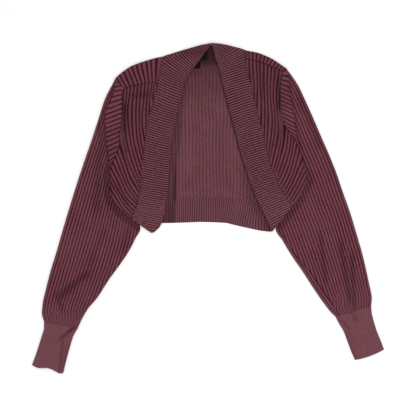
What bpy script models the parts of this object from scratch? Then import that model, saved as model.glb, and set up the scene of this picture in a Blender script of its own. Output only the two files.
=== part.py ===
# Cropped open-front cardigan in rib knit, lying flat on its back with its sleeves folded down beside it.
# Every length is in millimetres of the real garment and becomes metres when a mesh is made.
# +X is the garment's left hand side as it is seen from above, +Y points to its neck, +Z points up.
# The middle of the outline is at x = 0, y = 0, and the cloth lies on z = 0.
import math

import bmesh
import bpy

MM = 0.001

# Driving sizes of the cloth.
CLOTH = 1.5            # wall between the ribs
RIB = 0.9              # height of a broad rib on the body and the sleeves
FINE_RIB = 0.5         # height of a narrow rib on the bands
INSIDE_RIB = 0.35      # the broad ribs as they show on the inside of the back
LAYER_GAP = 0.6        # air between cloth that lies on cloth
SEAM_GAP = 0.6         # air between two pieces where they are sewn together
SEAM_DIP = 0.4         # how far cloth dips where it is sewn
LIP = 2.4              # width of the rounding where cloth turns over an edge

# Heights of the layers, from the surface that the garment lies on.
SLEEVE_UNDER_BODY = 3.4
SLEEVE_FREE = 6.2
SLEEVE_RISE = 25.0     # distance from the body over which a sleeve rises to its free height
LOW_STRIP = 10.0       # strip beside the body's lower edge where a sleeve stays low
LOW_STRIP_TOP, LOW_STRIP_FADE = 110.0, 40.0
CUFF_HEIGHT = 5.6
BODY_CLIMB = 3.95      # height of the back's underside where it lies on a sleeve
CLIMB_FOOT = 92.0      # distance from the middle line where the back begins to climb
CLIMB_TOP = 148.0      # distance from the middle line where it has climbed
BACK_RIBS = 46
NECK_FROM, NECK_TO = 13, 33
SLEEVE_RIBS = 17
RIB_FADE = 7.0         # distance over which the sleeve's ribs rise beside the body
APEX_LOFT = 2.4        # the bands stand up a little round the back of the neck
APEX_RIBS = 20

MAUVE = (0.17, 0.075, 0.082, 1.0)
WINE = (0.13, 0.05, 0.058, 1.0)
BLACK = (0.012, 0.012, 0.013, 1.0)

# The two halves of the front band. Columns: rib number from the back of the neck down to the lower
# corner, then x, y of that rib's end at the outer seam, then x, y of its end at the free edge.
BAND_LEFT = [
    (0, 4, 362, 6, 359), (3, -13, 359, -4, 345), (6, -32, 354, -13, 332), (10, -53, 348, -24, 317),
    (14, -79, 340, -33, 306), (17, -98, 333, -42, 294), (19, -102, 322, -46, 286),
    (23, -107, 298, -54, 271), (27, -110, 274, -56, 255), (31, -116, 251, -59, 240),
    (36, -122, 226, -66, 215), (40, -129, 205, -69, 194), (44, -133, 188, -74, 176),
    (49, -137, 162, -78, 151), (55, -141, 130, -82, 121), (60, -144, 105, -84, 97),
    (66, -147, 75, -85, 68), (73, -150, 40, -90, 33), (79, -153, 9, -93, 4),
    (83, -158, -9, -98, -18), (86, -160, -24, -101, -31), (88, -150, -37, -106, -42),
    (90, -136, -47, -112, -48), (91, -126, -54, -120, -54.5),
]
BAND_RIGHT = [
    (0, 9, 363, 8, 359), (2, 21, 362, 12, 346.5), (5, 40, 359, 15, 332), (8, 62, 353.5, 20, 319),
    (11, 78, 348, 23, 312), (14, 81, 326, 25, 300), (17, 86, 304, 27.5, 290),
    (22, 92, 280.5, 34, 267), (27, 98, 255, 40, 242), (33, 105, 226, 48, 212.5),
    (39, 112.5, 195, 56, 181.5), (45, 120.5, 163, 64, 152), (51, 127.5, 133, 71, 124),
    (58, 135.5, 101, 81.5, 91), (65, 147.5, 68, 92, 56.5), (70, 159, 45, 102, 32),
    (74, 169.5, 26, 110.5, 13), (78, 178, 11, 119, -5.5), (81, 180.5, -1, 125.5, -17.5),
    (83, 172, -13, 131, -31), (86, 158.5, -31, 136.5, -43), (88, 148.5, -43, 137.5, -48.5),
    (89, 142, -51, 138, -52),
]

# Where the sleeves are sewn on, from the shoulder point down to the underarm. Columns: y, x.
ARMHOLE_LEFT = [
    (279, -205), (262, -185), (249, -188.5), (227, -188), (205, -188), (183, -191), (161, -194),
    (139, -194), (132, -196), (117, -202), (101, -209), (90, -213), (79, -216),
]
ARMHOLE_RIGHT = [
    (305, 175), (300, 162.5), (290, 160), (271, 158.3), (255, 158), (238, 158.8), (220, 161), (205, 162.3),
    (189, 165), (176, 172), (165, 180), (152, 189), (136, 198), (128, 202),
]
# The shoulder seams, which lie on the front of the garment. Columns: x, y.
SHOULDER_LEFT = [(-185, 262), (-172, 267), (-150, 273), (-128, 276), (-110, 277)]
SHOULDER_RIGHT = [
    (80, 329.5), (92, 328), (103, 326), (114, 321), (125, 318), (136, 312), (147, 308), (162, 300),
]
# The edge where the sleeve cloth turns under beside the armhole. Columns: y, x.
CAP_FOLD_LEFT = [
    (272, -202), (253, -207), (240, -213), (224, -220), (209, -225.5), (194, -227), (172, -225.5),
    (150, -224), (128, -221), (106, -218), (84, -216),
]
CAP_FOLD_RIGHT = [
    (299, 166), (282, 174), (264, 178), (253, 180), (238, 183), (222, 187), (211, 189), (198, 191),
    (185, 191.5), (172, 194), (156, 196), (143, 200), (132, 202),
]
# Ribs of the sleeve cloth beside the armhole. Columns: rib, y at the armhole, y at the turned edge.
CAP_RIBS_LEFT = [(-1, 270, 267), (0, 259, 260), (5, 219, 204), (10, 178, 165), (15, 137, 124), (18, 112, 102)]
CAP_RIBS_RIGHT = [(1, 290, 284), (4, 266, 255), (8, 229, 216), (12, 194, 178), (15, 167, 154), (17.5, 145, 138)]
# The body's side edge below the armhole, down to the lower corner of the front. Columns: y, x.
SIDE_LEFT = [
    (79, -216), (62, -216), (40, -216), (18, -211), (4, -200), (-9, -187), (-20, -174), (-29, -161),
    (-37, -150), (-47, -136), (-54, -126),
]
SIDE_RIGHT = [
    (128, 202), (112, 207), (99, 209), (84, 213), (70, 218), (62, 219), (48, 213), (40, 209), (26, 202),
    (15, 196), (7, 189), (-4, 180), (-13, 172), (-31, 158.5), (-43, 148.5), (-51, 142),
]

# Ribs of the front panels. Columns: rib, x, y at its upper end, x, y a third of the way down,
# x, y two thirds of the way down, and the rib of the front band that it meets at its lower end.
FRONT_LEFT = [
    (0, -215.6, 77, -215.6, 40, -196, 0, 86), (1, -213, 88, -207, 53, -189, 18, 84.7),
    (3, -207, 110, -196, 75, -178, 37, 80.6), (5, -194, 150, -185, 106, -169, 64, 77),
    (6, -185, 260, -188, 176, -172, 90, 74), (8, -169, 267, -172, 194, -163, 112, 67.4),
    (10, -155, 272, -156, 211, -154, 150, 60.3), (12, -141, 274, -142, 227, -142, 178, 53.2),
    (14, -125, 276, -126, 255, -127, 232, 37.8), (16, -113, 277, -112.8, 274, -112.8, 271, 28),
]
FRONT_RIGHT = [
    (0, 86, 328, 86, 323, 86, 318, 15.7), (2, 98.5, 327, 99, 297, 100, 266, 30.6),
    (4, 114, 321, 114, 271, 117, 220, 43.8), (6, 130, 316, 131, 244, 133.5, 172, 58),
    (8, 145, 309, 144, 227, 150, 139, 65.4), (10, 160.5, 301, 152.8, 245, 165, 128, 70.7),
    (11, 163.5, 196, 168.5, 154, 171.5, 88, 72.6), (12, 172, 176, 179, 132, 175, 77, 74.6),
    (14, 187, 155, 194, 117, 187, 59, 78.3), (16, 202, 127, 207, 88, 199, 42, 80.8),
    (17, 203.5, 123, 217, 73, 205, 30, 81.3),
]

# Ribs of the back where it comes over the shoulders. Columns: rib, x, y on the shoulder's edge,
# x, y at the shoulder seam.
YOKE_LEFT = [
    (0, -206, 280.5, -203.5, 277), (1.5, -200, 288, -185.5, 262.5), (3, -191, 296, -176, 266),
    (4, -182.5, 302.5, -169, 268), (6, -169, 311, -154, 272), (8, -152, 318, -141, 274),
    (10, -134, 324, -127.5, 275.5), (12, -115.5, 329.5, -116.5, 277), (13, -100, 333, -110.5, 277),
]
YOKE_RIGHT = [
    (0, 79, 348, 81.5, 329), (2, 90, 345, 91, 328), (4, 108, 341.5, 105.5, 325),
    (6, 124, 335.5, 120, 320), (8, 140, 328, 133, 314.5), (10, 154, 319, 147.5, 308),
    (12, 167, 310, 159.5, 302), (13, 174, 305, 164, 300.5),
]
# The back's neckline, seam to the hem band, and side edges under the fronts.
NECKLINE = [
    (-98, 327), (-79, 328), (-53, 324), (-32, 318), (-13, 308), (6, 303), (21, 309), (40, 325),
    (62, 338), (79, 342),
]
HEM_SEAM = [(-205, 18), (-70, 23), (37, 23), (70, 19), (119, 11), (170, 9), (196, 13)]
# Columns: y at the left edge, x there, y at the right edge, x there, for each row of the back.
BACK_ROWS = [
    (18, -203, 18, 189), (75, -211, 75, 211), (122, -196, 118, 200), (170, -189, 170, 172),
    (215, -184, 215, 156), (258, -186, 275, 152), (279, -203.5, 303, 172),
]

# The hem band. Columns: x on the lower edge, y there.
HEM_EDGE = [
    (-197, 10), (-185, 0), (-172, -11), (-160, -20), (-148, -29), (-135, -36), (-115, -38), (-101, -33), (-84, -33), (-40, -31.5), (-18, -30.5), (4, -31),
    (26, -32), (42, -33), (53, -36), (70, -40), (92, -45), (114, -49.5),
    (134, -52), (139, -44), (148, -34), (159, -21), (168, -10), (176, 0),
]
HEM_RIBS_FROM, HEM_RIBS_TO = -112.0, 134.0
HEM_RIBS = 61
# Places across the hidden ends of the hem band, which are plain.
HEM_LEFT_END = [-197, -185, -172, -160, -148, -135, -124]
HEM_RIGHT_END = [139, 148, 159, 168, 176]

# Sleeves, from the armhole to the cuff seam. Columns: x, y on the outer edge, x, y on the inner edge.
SLEEVE_LEFT = [
    (-207, 278, -160, 165), (-227, 238, -158, 130), (-242, 191, -157, 95), (-257, 145, -156, 60),
    (-273, 99, -154, 15), (-288, 53, -149, -44), (-304, 2, -159, -66), (-319, -48, -174, -95),
    (-333, -97, -194, -125), (-345, -136, -218, -158), (-356, -178, -244, -198),
    (-363, -209, -264, -222), (-365, -231, -277, -244), (-360, -250, -286, -264),
]
SLEEVE_RIGHT = [
    (176, 302, 163, 205), (196, 273, 160, 165), (213, 238, 157, 125), (231, 198, 155, 88),
    (249, 156, 153, 52), (266, 117, 151, 10), (282, 77, 149, -44), (297, 33, 165, -73),
    (312, -9, 185, -106), (328, -62, 209, -141), (342, -112, 231, -175), (353, -161, 253, -207),
    (360, -198, 271, -230), (358.6, -216, 280.5, -239),
]
# Cuffs, from the seam to the open end, with the same columns.
CUFF_LEFT = [
    (-360, -251, -286, -265), (-360.5, -264, -296, -282), (-366, -284, -303, -304),
    (-373, -306, -309, -326), (-380, -327, -314, -345), (-387, -345, -318, -363),
]
CUFF_RIGHT = [
    (358.6, -217.2, 280.2, -240), (360, -231, 288, -254), (365, -251, 298, -271),
    (372, -273, 306.5, -293), (379, -290, 314.6, -314.6), (387, -311, 323, -334),
]
CUFF_END_WAVE = 2.4    # the open end of a cuff is a little wavy

# Soft troughs across the sleeves. Columns: x, y at one end, x, y at the other, half width, depth.
CREASES = [
    (-262, -140, -330, -198, 11, 1.1), (-343, -190, -326, -242, 8, 1.0), (-246, 12, -262, -70, 10, 0.7),
    (246, -70, 259, -136, 9, 0.9), (290, -70, 313, -213, 10, 1.1), (243, 60, 262, -10, 9, 0.7),
]


# Reading the tables.

def between(rows, at):
    """The other columns of a table where its first column has the value at, straight between rows."""
    rows = sorted(rows)
    if at <= rows[0][0]:
        return rows[0][1:]
    for lower, upper in zip(rows, rows[1:]):
        if at <= upper[0]:
            share = (at - lower[0]) / (upper[0] - lower[0])
            return tuple(a + (b - a) * share for a, b in zip(lower[1:], upper[1:]))
    return rows[-1][1:]


def smooth(share):
    share = min(1.0, max(0.0, share))
    return share * share * (3 - 2 * share)


def mix(a, b, share):
    return a + (b - a) * share


def along(points, share):
    """A point on a smooth curve through four points."""
    place = min(share, 0.9999) * (len(points) - 1)
    step = int(place)
    t = place - step
    p1, p2 = points[step], points[step + 1]
    p0 = points[step - 1] if step > 0 else tuple(2 * a - b for a, b in zip(p1, p2))
    p3 = points[step + 2] if step + 2 < len(points) else tuple(2 * b - a for a, b in zip(p1, p2))
    return tuple(
        0.5 * (2 * b + (c - a) * t + (2 * a - 5 * b + 4 * c - d) * t * t + (3 * b - a - 3 * c + d) * t ** 3)
        for a, b, c, d in zip(p0, p1, p2, p3))


def toward(start, end, distance):
    """The point that lies a distance from start on the way to end."""
    length = math.hypot(end[0] - start[0], end[1] - start[1])
    share = distance / length
    return mix(start[0], end[0], share), mix(start[1], end[1], share)


def rib_height(rib):
    """0 in the groove at each whole number, 1 on the crest halfway to the next."""
    return 1 - abs(2 * (rib % 1) - 1)


def steps(first, last, per_rib=2):
    """Rib numbers from first to last, with a column in each groove and on each crest."""
    count = round((last - first) * per_rib)
    return [first + i / per_rib for i in range(count + 1)]


def segment_distance(x, y, x1, y1, x2, y2):
    run = ((x - x1) * (x2 - x1) + (y - y1) * (y2 - y1)) / ((x2 - x1) ** 2 + (y2 - y1) ** 2)
    run = min(1.0, max(0.0, run))
    return math.hypot(x - mix(x1, x2, run), y - mix(y1, y2, run)), run


# How high each layer lies.

BODY_EDGE_LEFT = [(279, -205)] + CAP_FOLD_LEFT + SIDE_LEFT
BODY_EDGE_RIGHT = [(305, 174)] + CAP_FOLD_RIGHT + SIDE_RIGHT


def back_floor(x):
    """Underside of the back: on the surface in the middle, on the sleeves beside it."""
    share = (abs(x) - CLIMB_FOOT) / (CLIMB_TOP - CLIMB_FOOT)
    return BODY_CLIMB * min(1.0, max(0.0, share))


def top_layer(x):
    """Upper side, in the grooves, of cloth that lies on the back."""
    return back_floor(x) + 2 * CLOTH + INSIDE_RIB + LAYER_GAP


def outside_body(x, y):
    """Distance from the body's side edge, negative under the body."""
    edge = BODY_EDGE_LEFT if x < 0 else BODY_EDGE_RIGHT
    nearest = min(
        segment_distance(x, y, a[1], a[0], b[1], b[0])[0] for a, b in zip(edge, edge[1:]))
    beside = between(edge, y)[0]
    out = y < edge[-1][0] or (x < beside if x < 0 else x > beside)
    return nearest if out else -nearest


def clear_of_body(x, y):
    """Distance from where a sleeve may begin to rise. Below the armhole it stays low for longer."""
    return outside_body(x, y) - LOW_STRIP * smooth((LOW_STRIP_TOP - y) / LOW_STRIP_FADE)


def sleeve_height(x, y):
    """Upper side of a sleeve in its grooves: low under the body, higher where it is free."""
    height = mix(SLEEVE_UNDER_BODY, SLEEVE_FREE, smooth(clear_of_body(x, y) / SLEEVE_RISE))
    for x1, y1, x2, y2, half_width, depth in CREASES:
        away, run = segment_distance(x, y, x1, y1, x2, y2)
        height -= depth * smooth(1 - away / half_width) * math.sin(math.pi * mix(0.15, 0.85, run))
    return max(height, SLEEVE_UNDER_BODY)


# Making solids.

def material(name, colour, roughness=0.9):
    finish = bpy.data.materials.new(name)
    finish.use_nodes = True
    shader = finish.node_tree.nodes["Principled BSDF"]
    shader.inputs["Base Color"].default_value = colour
    shader.inputs["Roughness"].default_value = roughness
    shader.inputs["Metallic"].default_value = 0.0
    return finish


def cloth(name, outer, inner, picks, colour, loop=False, present=None):
    """One piece of cloth, closed along every cut edge.

    outer[row][column] is its finely divided side. inner[row][pick] is the other side, which has
    only the columns listed in picks. A loop is a tube. present(row, span) says which cells exist.
    """
    rows, columns, inner_columns = len(outer), len(outer[0]), len(picks)
    spans = list(zip(picks, picks[1:]))
    if loop:
        spans.append((picks[-1], columns))

    def o(row, column):
        return row * columns + column % columns

    def i(row, pick):
        return rows * columns + row * inner_columns + pick % inner_columns

    def here(row, span):
        if loop:
            span %= len(spans)
        inside = 0 <= row < rows - 1 and 0 <= span < len(spans)
        return inside and (present is None or present(row, span))

    faces = []
    for row in range(rows - 1):
        for span, (first, last) in enumerate(spans):
            if not here(row, span):
                continue
            for c in range(first, last):
                faces.append((o(row, c), o(row, c + 1), o(row + 1, c + 1), o(row + 1, c)))
            faces.append((i(row, span), i(row + 1, span), i(row + 1, span + 1), i(row, span + 1)))
            fine = list(range(first, last + 1))
            if not here(row - 1, span):
                faces.append([o(row, c) for c in reversed(fine)] + [i(row, span), i(row, span + 1)])
            if not here(row + 1, span):
                faces.append([o(row + 1, c) for c in fine] + [i(row + 1, span + 1), i(row + 1, span)])
            if not here(row, span - 1):
                faces.append((o(row, first), o(row + 1, first), i(row + 1, span), i(row, span)))
            if not here(row, span + 1):
                faces.append((o(row + 1, last), o(row, last), i(row, span + 1), i(row + 1, span + 1)))

    points = [p for line in outer for p in line] + [p for line in inner for p in line]
    mesh = bpy.data.meshes.new(name)
    mesh.from_pydata([(x * MM, y * MM, z * MM) for x, y, z in points], [], faces)
    shape = bmesh.new()
    shape.from_mesh(mesh)
    bmesh.ops.delete(shape, geom=[v for v in shape.verts if not v.link_faces], context="VERTS")
    bmesh.ops.recalc_face_normals(shape, faces=shape.faces)
    shape.to_mesh(mesh)
    shape.free()
    piece = bpy.data.objects.new(name, mesh)
    bpy.context.collection.objects.link(piece)
    mesh.materials.append(material(name + "_cloth", colour))
    return piece


def join(piece, addition):
    """Grow a piece by another that reaches into it, as one body."""
    union = piece.modifiers.new("joined", "BOOLEAN")
    union.operation = "UNION"
    union.solver = "EXACT"
    union.object = addition
    addition.hide_render = True
    addition.display_type = "WIRE"


# The front band.

def bend(ox, ix, lip, width):
    """How far from the outer end a rib of the band crosses the foot or the top of the climb."""
    low, high = 1.4 * lip, width - 1.4 * lip
    fall = abs(ox) - abs(ix)
    if fall > 1:
        for edge in (CLIMB_FOOT, CLIMB_TOP):
            inset = width * (abs(ox) - edge) / fall
            if low < inset < high:
                return inset
    return width / 2


def band(name, ribs, fold_to, fold_from, tip_from):
    """One half of the front band, from the back of the neck to the lower corner.

    Up to rib fold_to its outer edge turns over the shoulder's edge. From rib fold_from on the
    corner is turned under on its outer edge, and from tip_from on at the free edge too.
    """
    upper, lower = [[] for _ in range(5)], [[] for _ in range(5)]
    numbers = steps(0, ribs[-1][0])
    picks = list(range(0, len(numbers) - 1, 4)) + [len(numbers) - 1]
    for column, rib in enumerate(numbers):
        ox, oy, ix, iy = between(ribs, rib)
        width = math.hypot(ix - ox, iy - oy)
        lip = min(LIP, 0.3 * width)
        loft = APEX_LOFT * (1 - smooth(rib / APEX_RIBS))
        turned_out = max(1 - smooth(rib - fold_to + 1), smooth(rib - fold_from))
        turned_in = smooth(rib - tip_from)
        height = FINE_RIB * rib_height(rib)
        for row, (inset, turned) in enumerate(
                [(0, turned_out), (lip, 0), (bend(ox, ix, lip, width), 0), (width - lip, 0),
                 (width, turned_in)]):
            x, y = toward((ox, oy), (ix, iy), inset)
            top = top_layer(x) + loft
            edge = row in (0, 4)
            plain = top - SEAM_DIP if edge else top + height
            upper[row].append((x, y, mix(plain, back_floor(x) + 0.2, turned)))
            if column in picks:
                wall = min(CLOTH + 0.2, 0.28 * width) * turned
                x, y = toward((ox, oy), (ix, iy), inset + (wall if row == 0 else -wall))
                lower[row].append((x, y, mix(top - CLOTH, back_floor(x) + 0.2, turned)))
    return cloth(name, upper, lower, picks, MAUVE)


# The front panels.

def front(name, ribs, band_ribs, side, corner_rib, extra, armhole, shoulder):
    """A front panel. side is -1 on the left and 1 on the right of the picture.

    corner_rib starts where the shoulder seam meets the armhole. extra are added rib numbers, where
    the armhole runs along the ribs.
    """
    fold_rib = ribs[0][0] if side < 0 else ribs[-1][0]
    numbers = sorted(set(steps(ribs[0][0], ribs[-1][0]) + extra))
    shares = [0, 0.03, 0.2, 0.4, 0.6, 0.8, 0.97, 1]
    lines = []
    for rib in numbers:
        sx, sy, ux, uy, lx, ly, band_rib = between(ribs, rib)
        if (rib - corner_rib) * side <= 0:
            start = (sx, between(shoulder, sx)[0] - SEAM_GAP)
        else:
            start = (between(armhole, sy)[0] - side * SEAM_GAP, sy)
        ex, ey = between(band_ribs, band_rib)[:2]
        end = (ex + side * SEAM_GAP, ey)
        lines.append([along([start, (ux, uy), (lx, ly), end], share) for share in shares])
    if side < 0:
        edge, beside = lines[0], lines[1]
    else:
        edge, beside = lines[-1], lines[-2]
    inner_lip = [toward(a, b, min(LIP, 0.5 * math.dist(a, b))) for a, b in zip(edge, beside)]
    under_lip = [toward(a, b, min(CLOTH + 0.2, 0.35 * math.dist(a, b))) for a, b in zip(edge, beside)]
    place = 1 if side < 0 else len(lines) - 1
    lines.insert(place, inner_lip)
    numbers.insert(place, fold_rib)
    columns = len(lines)
    outline = 0 if side < 0 else columns - 1
    picks = list(range(columns))
    upper, lower = [[] for _ in shares], [[] for _ in shares]
    for column, (rib, line) in enumerate(zip(numbers, lines)):
        for row, (x, y) in enumerate(line):
            top = top_layer(x)
            height = -SEAM_DIP if row in (0, len(shares) - 1) else RIB * rib_height(rib)
            z = back_floor(x) + 0.2 if column == outline else top + height
            upper[row].append((x, y, z))
            bottom = top - CLOTH
            if column == outline:
                x, y = under_lip[row]
                bottom = back_floor(x) + 0.2
            lower[row].append((x, y, bottom))
    return cloth(name, upper, lower, picks, MAUVE)


# The sleeves.

def rounding(h, width, radius):
    """1 on the flat of a folded tube, falling to 0 at its two edges."""
    near = min(h, width - h, radius) / radius
    return math.sqrt(max(0.0, 1 - (1 - near) ** 2))


def tube_point(section, h, on_top, inside, height_at, rib=0.0):
    """A point of a flattened tube, h from its outer edge, on its upper or lower half."""
    ox, oy, ix, iy = section
    width = math.hypot(ix - ox, iy - oy)
    if inside:
        h = CLOTH + h * (width - 2 * CLOTH) / width
    x, y = toward((ox, oy), (ix, iy), h)
    height = height_at(x, y)
    middle = height / 2
    if inside:
        bow = (middle - CLOTH) * rounding(h - CLOTH, width - 2 * CLOTH, middle - CLOTH + 0.8)
    else:
        bow = middle * rounding(h, width, middle + 0.2)
    if not on_top:
        return x, y, middle - bow
    return x, y, middle + bow + rib


def sleeve_tube(name, sections):
    ribs = steps(0, SLEEVE_RIBS)
    edge = 3.0
    outer, inner = [], []
    for section in sections:
        width = math.hypot(section[2] - section[0], section[3] - section[1])
        over = [(0.0, True, None)]
        over += [(edge + (width - 2 * edge) * rib / SLEEVE_RIBS, True, rib) for rib in ribs]
        over += [(width, True, None)]
        over += [(share, False, None) for share in (width - edge, 0.75 * width, 0.5 * width,
                                                   0.25 * width, edge)]
        picks = [0, 1] + list(range(6, len(ribs) - 2, 5)) + list(range(len(ribs), len(over)))
        line, inside = [], []
        for column, (h, on_top, rib) in enumerate(over):
            height = 0.0
            if rib is not None:
                x, y = toward(section[:2], section[2:], h)
                height = RIB * rib_height(rib) * smooth(clear_of_body(x, y) / RIB_FADE)
            line.append(tube_point(section, h, on_top, False, sleeve_height, height))
            if column in picks:
                inside.append(tube_point(section, h, on_top, True, sleeve_height))
        outer.append(line)
        inner.append(inside)
    return cloth(name, outer, inner, picks, MAUVE, loop=True)


def cap(name, ribs, armhole, fold, side):
    """The sleeve cloth beside the armhole. It rises from the sleeve at a turned edge."""
    numbers = steps(ribs[0][0], ribs[-1][0])
    picks = list(range(len(numbers)))
    upper, lower = [[] for _ in range(4)], [[] for _ in range(4)]
    for rib in numbers:
        seam_y, fold_y = between(ribs, rib)
        seam = (between(armhole, seam_y)[0] + side * SEAM_GAP, seam_y)
        turn = (between(fold, fold_y)[0], fold_y)
        width = math.dist(seam, turn)
        lip = min(LIP + 0.6, 0.4 * width)
        height = RIB * rib_height(rib)
        at_seam = top_layer(seam[0]) - SEAM_DIP
        at_turn = SLEEVE_UNDER_BODY + LAYER_GAP + CLOTH + 0.5
        in_sleeve = SLEEVE_UNDER_BODY - 0.7
        for row, (inset, z) in enumerate([
                (0, at_seam), (min(3, 0.3 * width), at_seam + SEAM_DIP + height),
                (width - lip, at_turn + height), (width, in_sleeve)]):
            x, y = toward(seam, turn, inset)
            upper[row].append((x, y, z))
            if row == 3:
                x, y = toward(seam, turn, width - min(CLOTH, 0.2 * width))
                lower[row].append((x, y, in_sleeve))
            else:
                lower[row].append((x, y, z - CLOTH - (height if row else 0)))
    return cloth(name, upper, lower, picks, MAUVE)


def cuff(name, sections):
    outer, inner = [], []
    shares = [0.05, 0.18, 0.34, 0.5, 0.66, 0.82, 0.95]
    for row, section in enumerate(sections):
        width = math.hypot(section[2] - section[0], section[3] - section[1])
        over = [(0.0, True)] + [(s * width, True) for s in shares]
        over += [(width, True)] + [(s * width, False) for s in reversed(shares)]
        line, inside = [], []
        for h, on_top in over:
            wave = 0.0
            if row == len(sections) - 1:
                wave = CUFF_END_WAVE * math.sin(2 * math.pi * h / width)
            for points, is_inside in ((line, False), (inside, True)):
                x, y, z = tube_point(section, h, on_top, is_inside, lambda x, y: CUFF_HEIGHT)
                points.append((x, y - wave, z))
        outer.append(line)
        inner.append(inside)
    return cloth(name, outer, inner, list(range(len(outer[0]))), WINE, loop=True)


# The back.

def back_column(number):
    """For one rib of the back: its points from the hem seam up, and over the shoulder if it goes there."""
    share = number / BACK_RIBS
    if number <= NECK_FROM:
        edge_x, edge_y, seam_x, seam_y = between(YOKE_LEFT, number)
    elif number >= NECK_TO:
        edge_x, edge_y, seam_x, seam_y = between(YOKE_RIGHT, number - NECK_TO)
    else:
        edge_x = mix(NECKLINE[0][0], NECKLINE[-1][0], (number - NECK_FROM) / (NECK_TO - NECK_FROM))
        edge_y = between(NECKLINE, edge_x)[0] - SEAM_GAP
        seam_x, seam_y = edge_x, edge_y
    over_shoulder = number <= NECK_FROM or number >= NECK_TO
    foot_x = mix(BACK_ROWS[0][1], BACK_ROWS[0][3], share)
    foot = (foot_x, between(HEM_SEAM, foot_x)[0])
    head = toward((edge_x, edge_y), foot, LIP + 0.4) if over_shoulder else (edge_x, edge_y)
    main = [foot]
    left_weight = max(0.0, 1 - number / NECK_FROM)
    right_weight = max(0.0, 1 - (BACK_RIBS - number) / (BACK_RIBS - NECK_TO))
    for y_left, x_left, y_right, x_right in BACK_ROWS[1:-1]:
        first, last = BACK_ROWS[0], BACK_ROWS[-1]
        rise_left = (y_left - first[0]) / (last[0] - first[0])
        rise_right = (y_right - first[2]) / (last[2] - first[2])
        rise = mix(rise_left, rise_right, share)
        x = mix(foot[0], head[0], rise)
        x += left_weight * (x_left - mix(first[1], last[1], rise_left))
        x += right_weight * (x_right - mix(first[3], last[3], rise_right))
        main.append((x, mix(foot[1], head[1], rise)))
    main.append(head)
    return main, (edge_x, edge_y), (seam_x, seam_y)


def yoke_seam_point(number, seam):
    """The end of a shoulder rib, held clear of the front panel and of the sleeve."""
    x, y = seam
    if number <= NECK_FROM:
        if x < ARMHOLE_LEFT[1][1]:
            return x + SEAM_GAP, y + SEAM_GAP
        return x, between(SHOULDER_LEFT, x)[0] + 0.2
    if x > ARMHOLE_RIGHT[1][1]:
        return x, y + SEAM_GAP
    return x, between(SHOULDER_RIGHT, x)[0] + 0.2


def back():
    numbers = steps(0, BACK_RIBS)
    outer_columns, inner_columns = [], []
    for number in numbers:
        main, edge, seam = back_column(number)
        outer_line, inner_line = [], []
        crest = rib_height(number)
        for x, y in main:
            z = back_floor(x)
            outer_line.append((x, y, z))
            shown = 1 if NECK_FROM - 3 <= number <= NECK_TO + 3 else 0
            inner_line.append((x, y, z + CLOTH + INSIDE_RIB * crest * shown))
        seam = yoke_seam_point(number, seam)
        if number in (NECK_FROM, NECK_TO):
            band_ribs = BAND_LEFT if number == NECK_FROM else BAND_RIGHT
            sign = -1 if number == NECK_FROM else 1
        room = math.dist(edge, seam)
        lip = min(LIP + 0.4, 0.4 * room)
        inside = min(CLOTH, 0.2 * room)
        base = back_floor(edge[0])
        middle = base + CLOTH + (INSIDE_RIB + LAYER_GAP) / 2
        outer_line.append((*edge, middle))
        inner_line.append((*toward(edge, seam, inside), middle))
        for share in (0, 0.25, 0.6, 1):
            x, y = toward(edge, seam, mix(lip, room, share))
            if number in (NECK_FROM, NECK_TO):
                rows = [(row[2], row[1]) for row in band_ribs]
                x = between(rows, y)[0] + sign * SEAM_GAP * 1.2
            top = top_layer(x)
            height = -SEAM_DIP if share == 1 else RIB * crest
            outer_line.append((x, y, top + height))
            inner_line.append((x, y, top - CLOTH))
        outer_columns.append(outer_line)
        inner_columns.append(inner_line)
    outer, inner = [list(row) for row in zip(*outer_columns)], [list(row) for row in zip(*inner_columns)]
    main_cells = len(BACK_ROWS) - 1
    left_spans, right_spans = 2 * NECK_FROM, 2 * NECK_TO

    def present(row, span):
        return row < main_cells or span < left_spans or span >= right_spans

    return cloth("back_panel", outer, inner, list(range(len(numbers))), MAUVE, present=present)


def neck_band():
    """The stretch of the band behind the neck, between the back's neckline and the upper edge."""
    top_edge = [(row[1], row[2]) for row in BAND_LEFT[:6]] + [(row[1], row[2]) for row in BAND_RIGHT[:5]]
    xs = [mix(-84, 64, i / 24) for i in range(25)]
    upper, lower = [[], []], [[], []]
    for x in xs:
        low_y = between(NECKLINE, x)[0] + 0.4
        high_y = max(between(top_edge, x)[0] - LIP - 1.6, low_y + 1.0)
        for row, y in enumerate((low_y, high_y)):
            upper[row].append((x, y, CLOTH))
            lower[row].append((x, y, 0.0))
    return cloth("neck_band", upper, lower, list(range(len(xs))), WINE)


def hem_band():
    """The hem band. Its inside faces up, with narrow ribs where it shows between the fronts."""
    columns = [(x, 0.0) for x in HEM_LEFT_END]
    for rib in steps(0, HEM_RIBS):
        x = mix(HEM_RIBS_FROM, HEM_RIBS_TO, rib / HEM_RIBS)
        columns.append((x, FINE_RIB * rib_height(rib)))
    columns += [(x, 0.0) for x in HEM_RIGHT_END]
    first = len(HEM_LEFT_END)
    last = len(columns) - 1 - len(HEM_RIGHT_END)
    picks = list(range(first)) + list(range(first, last, 6)) + list(range(last, len(columns)))
    shares = [0, 0.08, 0.92, 1]
    upper, lower = [[] for _ in shares], [[] for _ in shares]
    for column, (x, height) in enumerate(columns):
        head = between(HEM_SEAM, x)[0] - SEAM_GAP
        foot = between(HEM_EDGE, x)[0]
        for row, share in enumerate(shares):
            y = mix(head, foot, share)
            floor = back_floor(x)
            relief = height if row in (1, 2) else -0.2
            upper[row].append((x, y, floor + CLOTH + relief))
            if column in picks:
                lower[row].append((x, y, floor))
    return cloth("hem_band", upper, lower, picks, WINE)


# The two small labels behind the neck, which are bare.

LABEL_GAP = 0.3
NECK_LABEL = (-28, -2, 325, 348)
SIZE_TAB = (-34, -17, 307, 323.5)
LABEL_THICKNESS = 0.5


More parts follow.
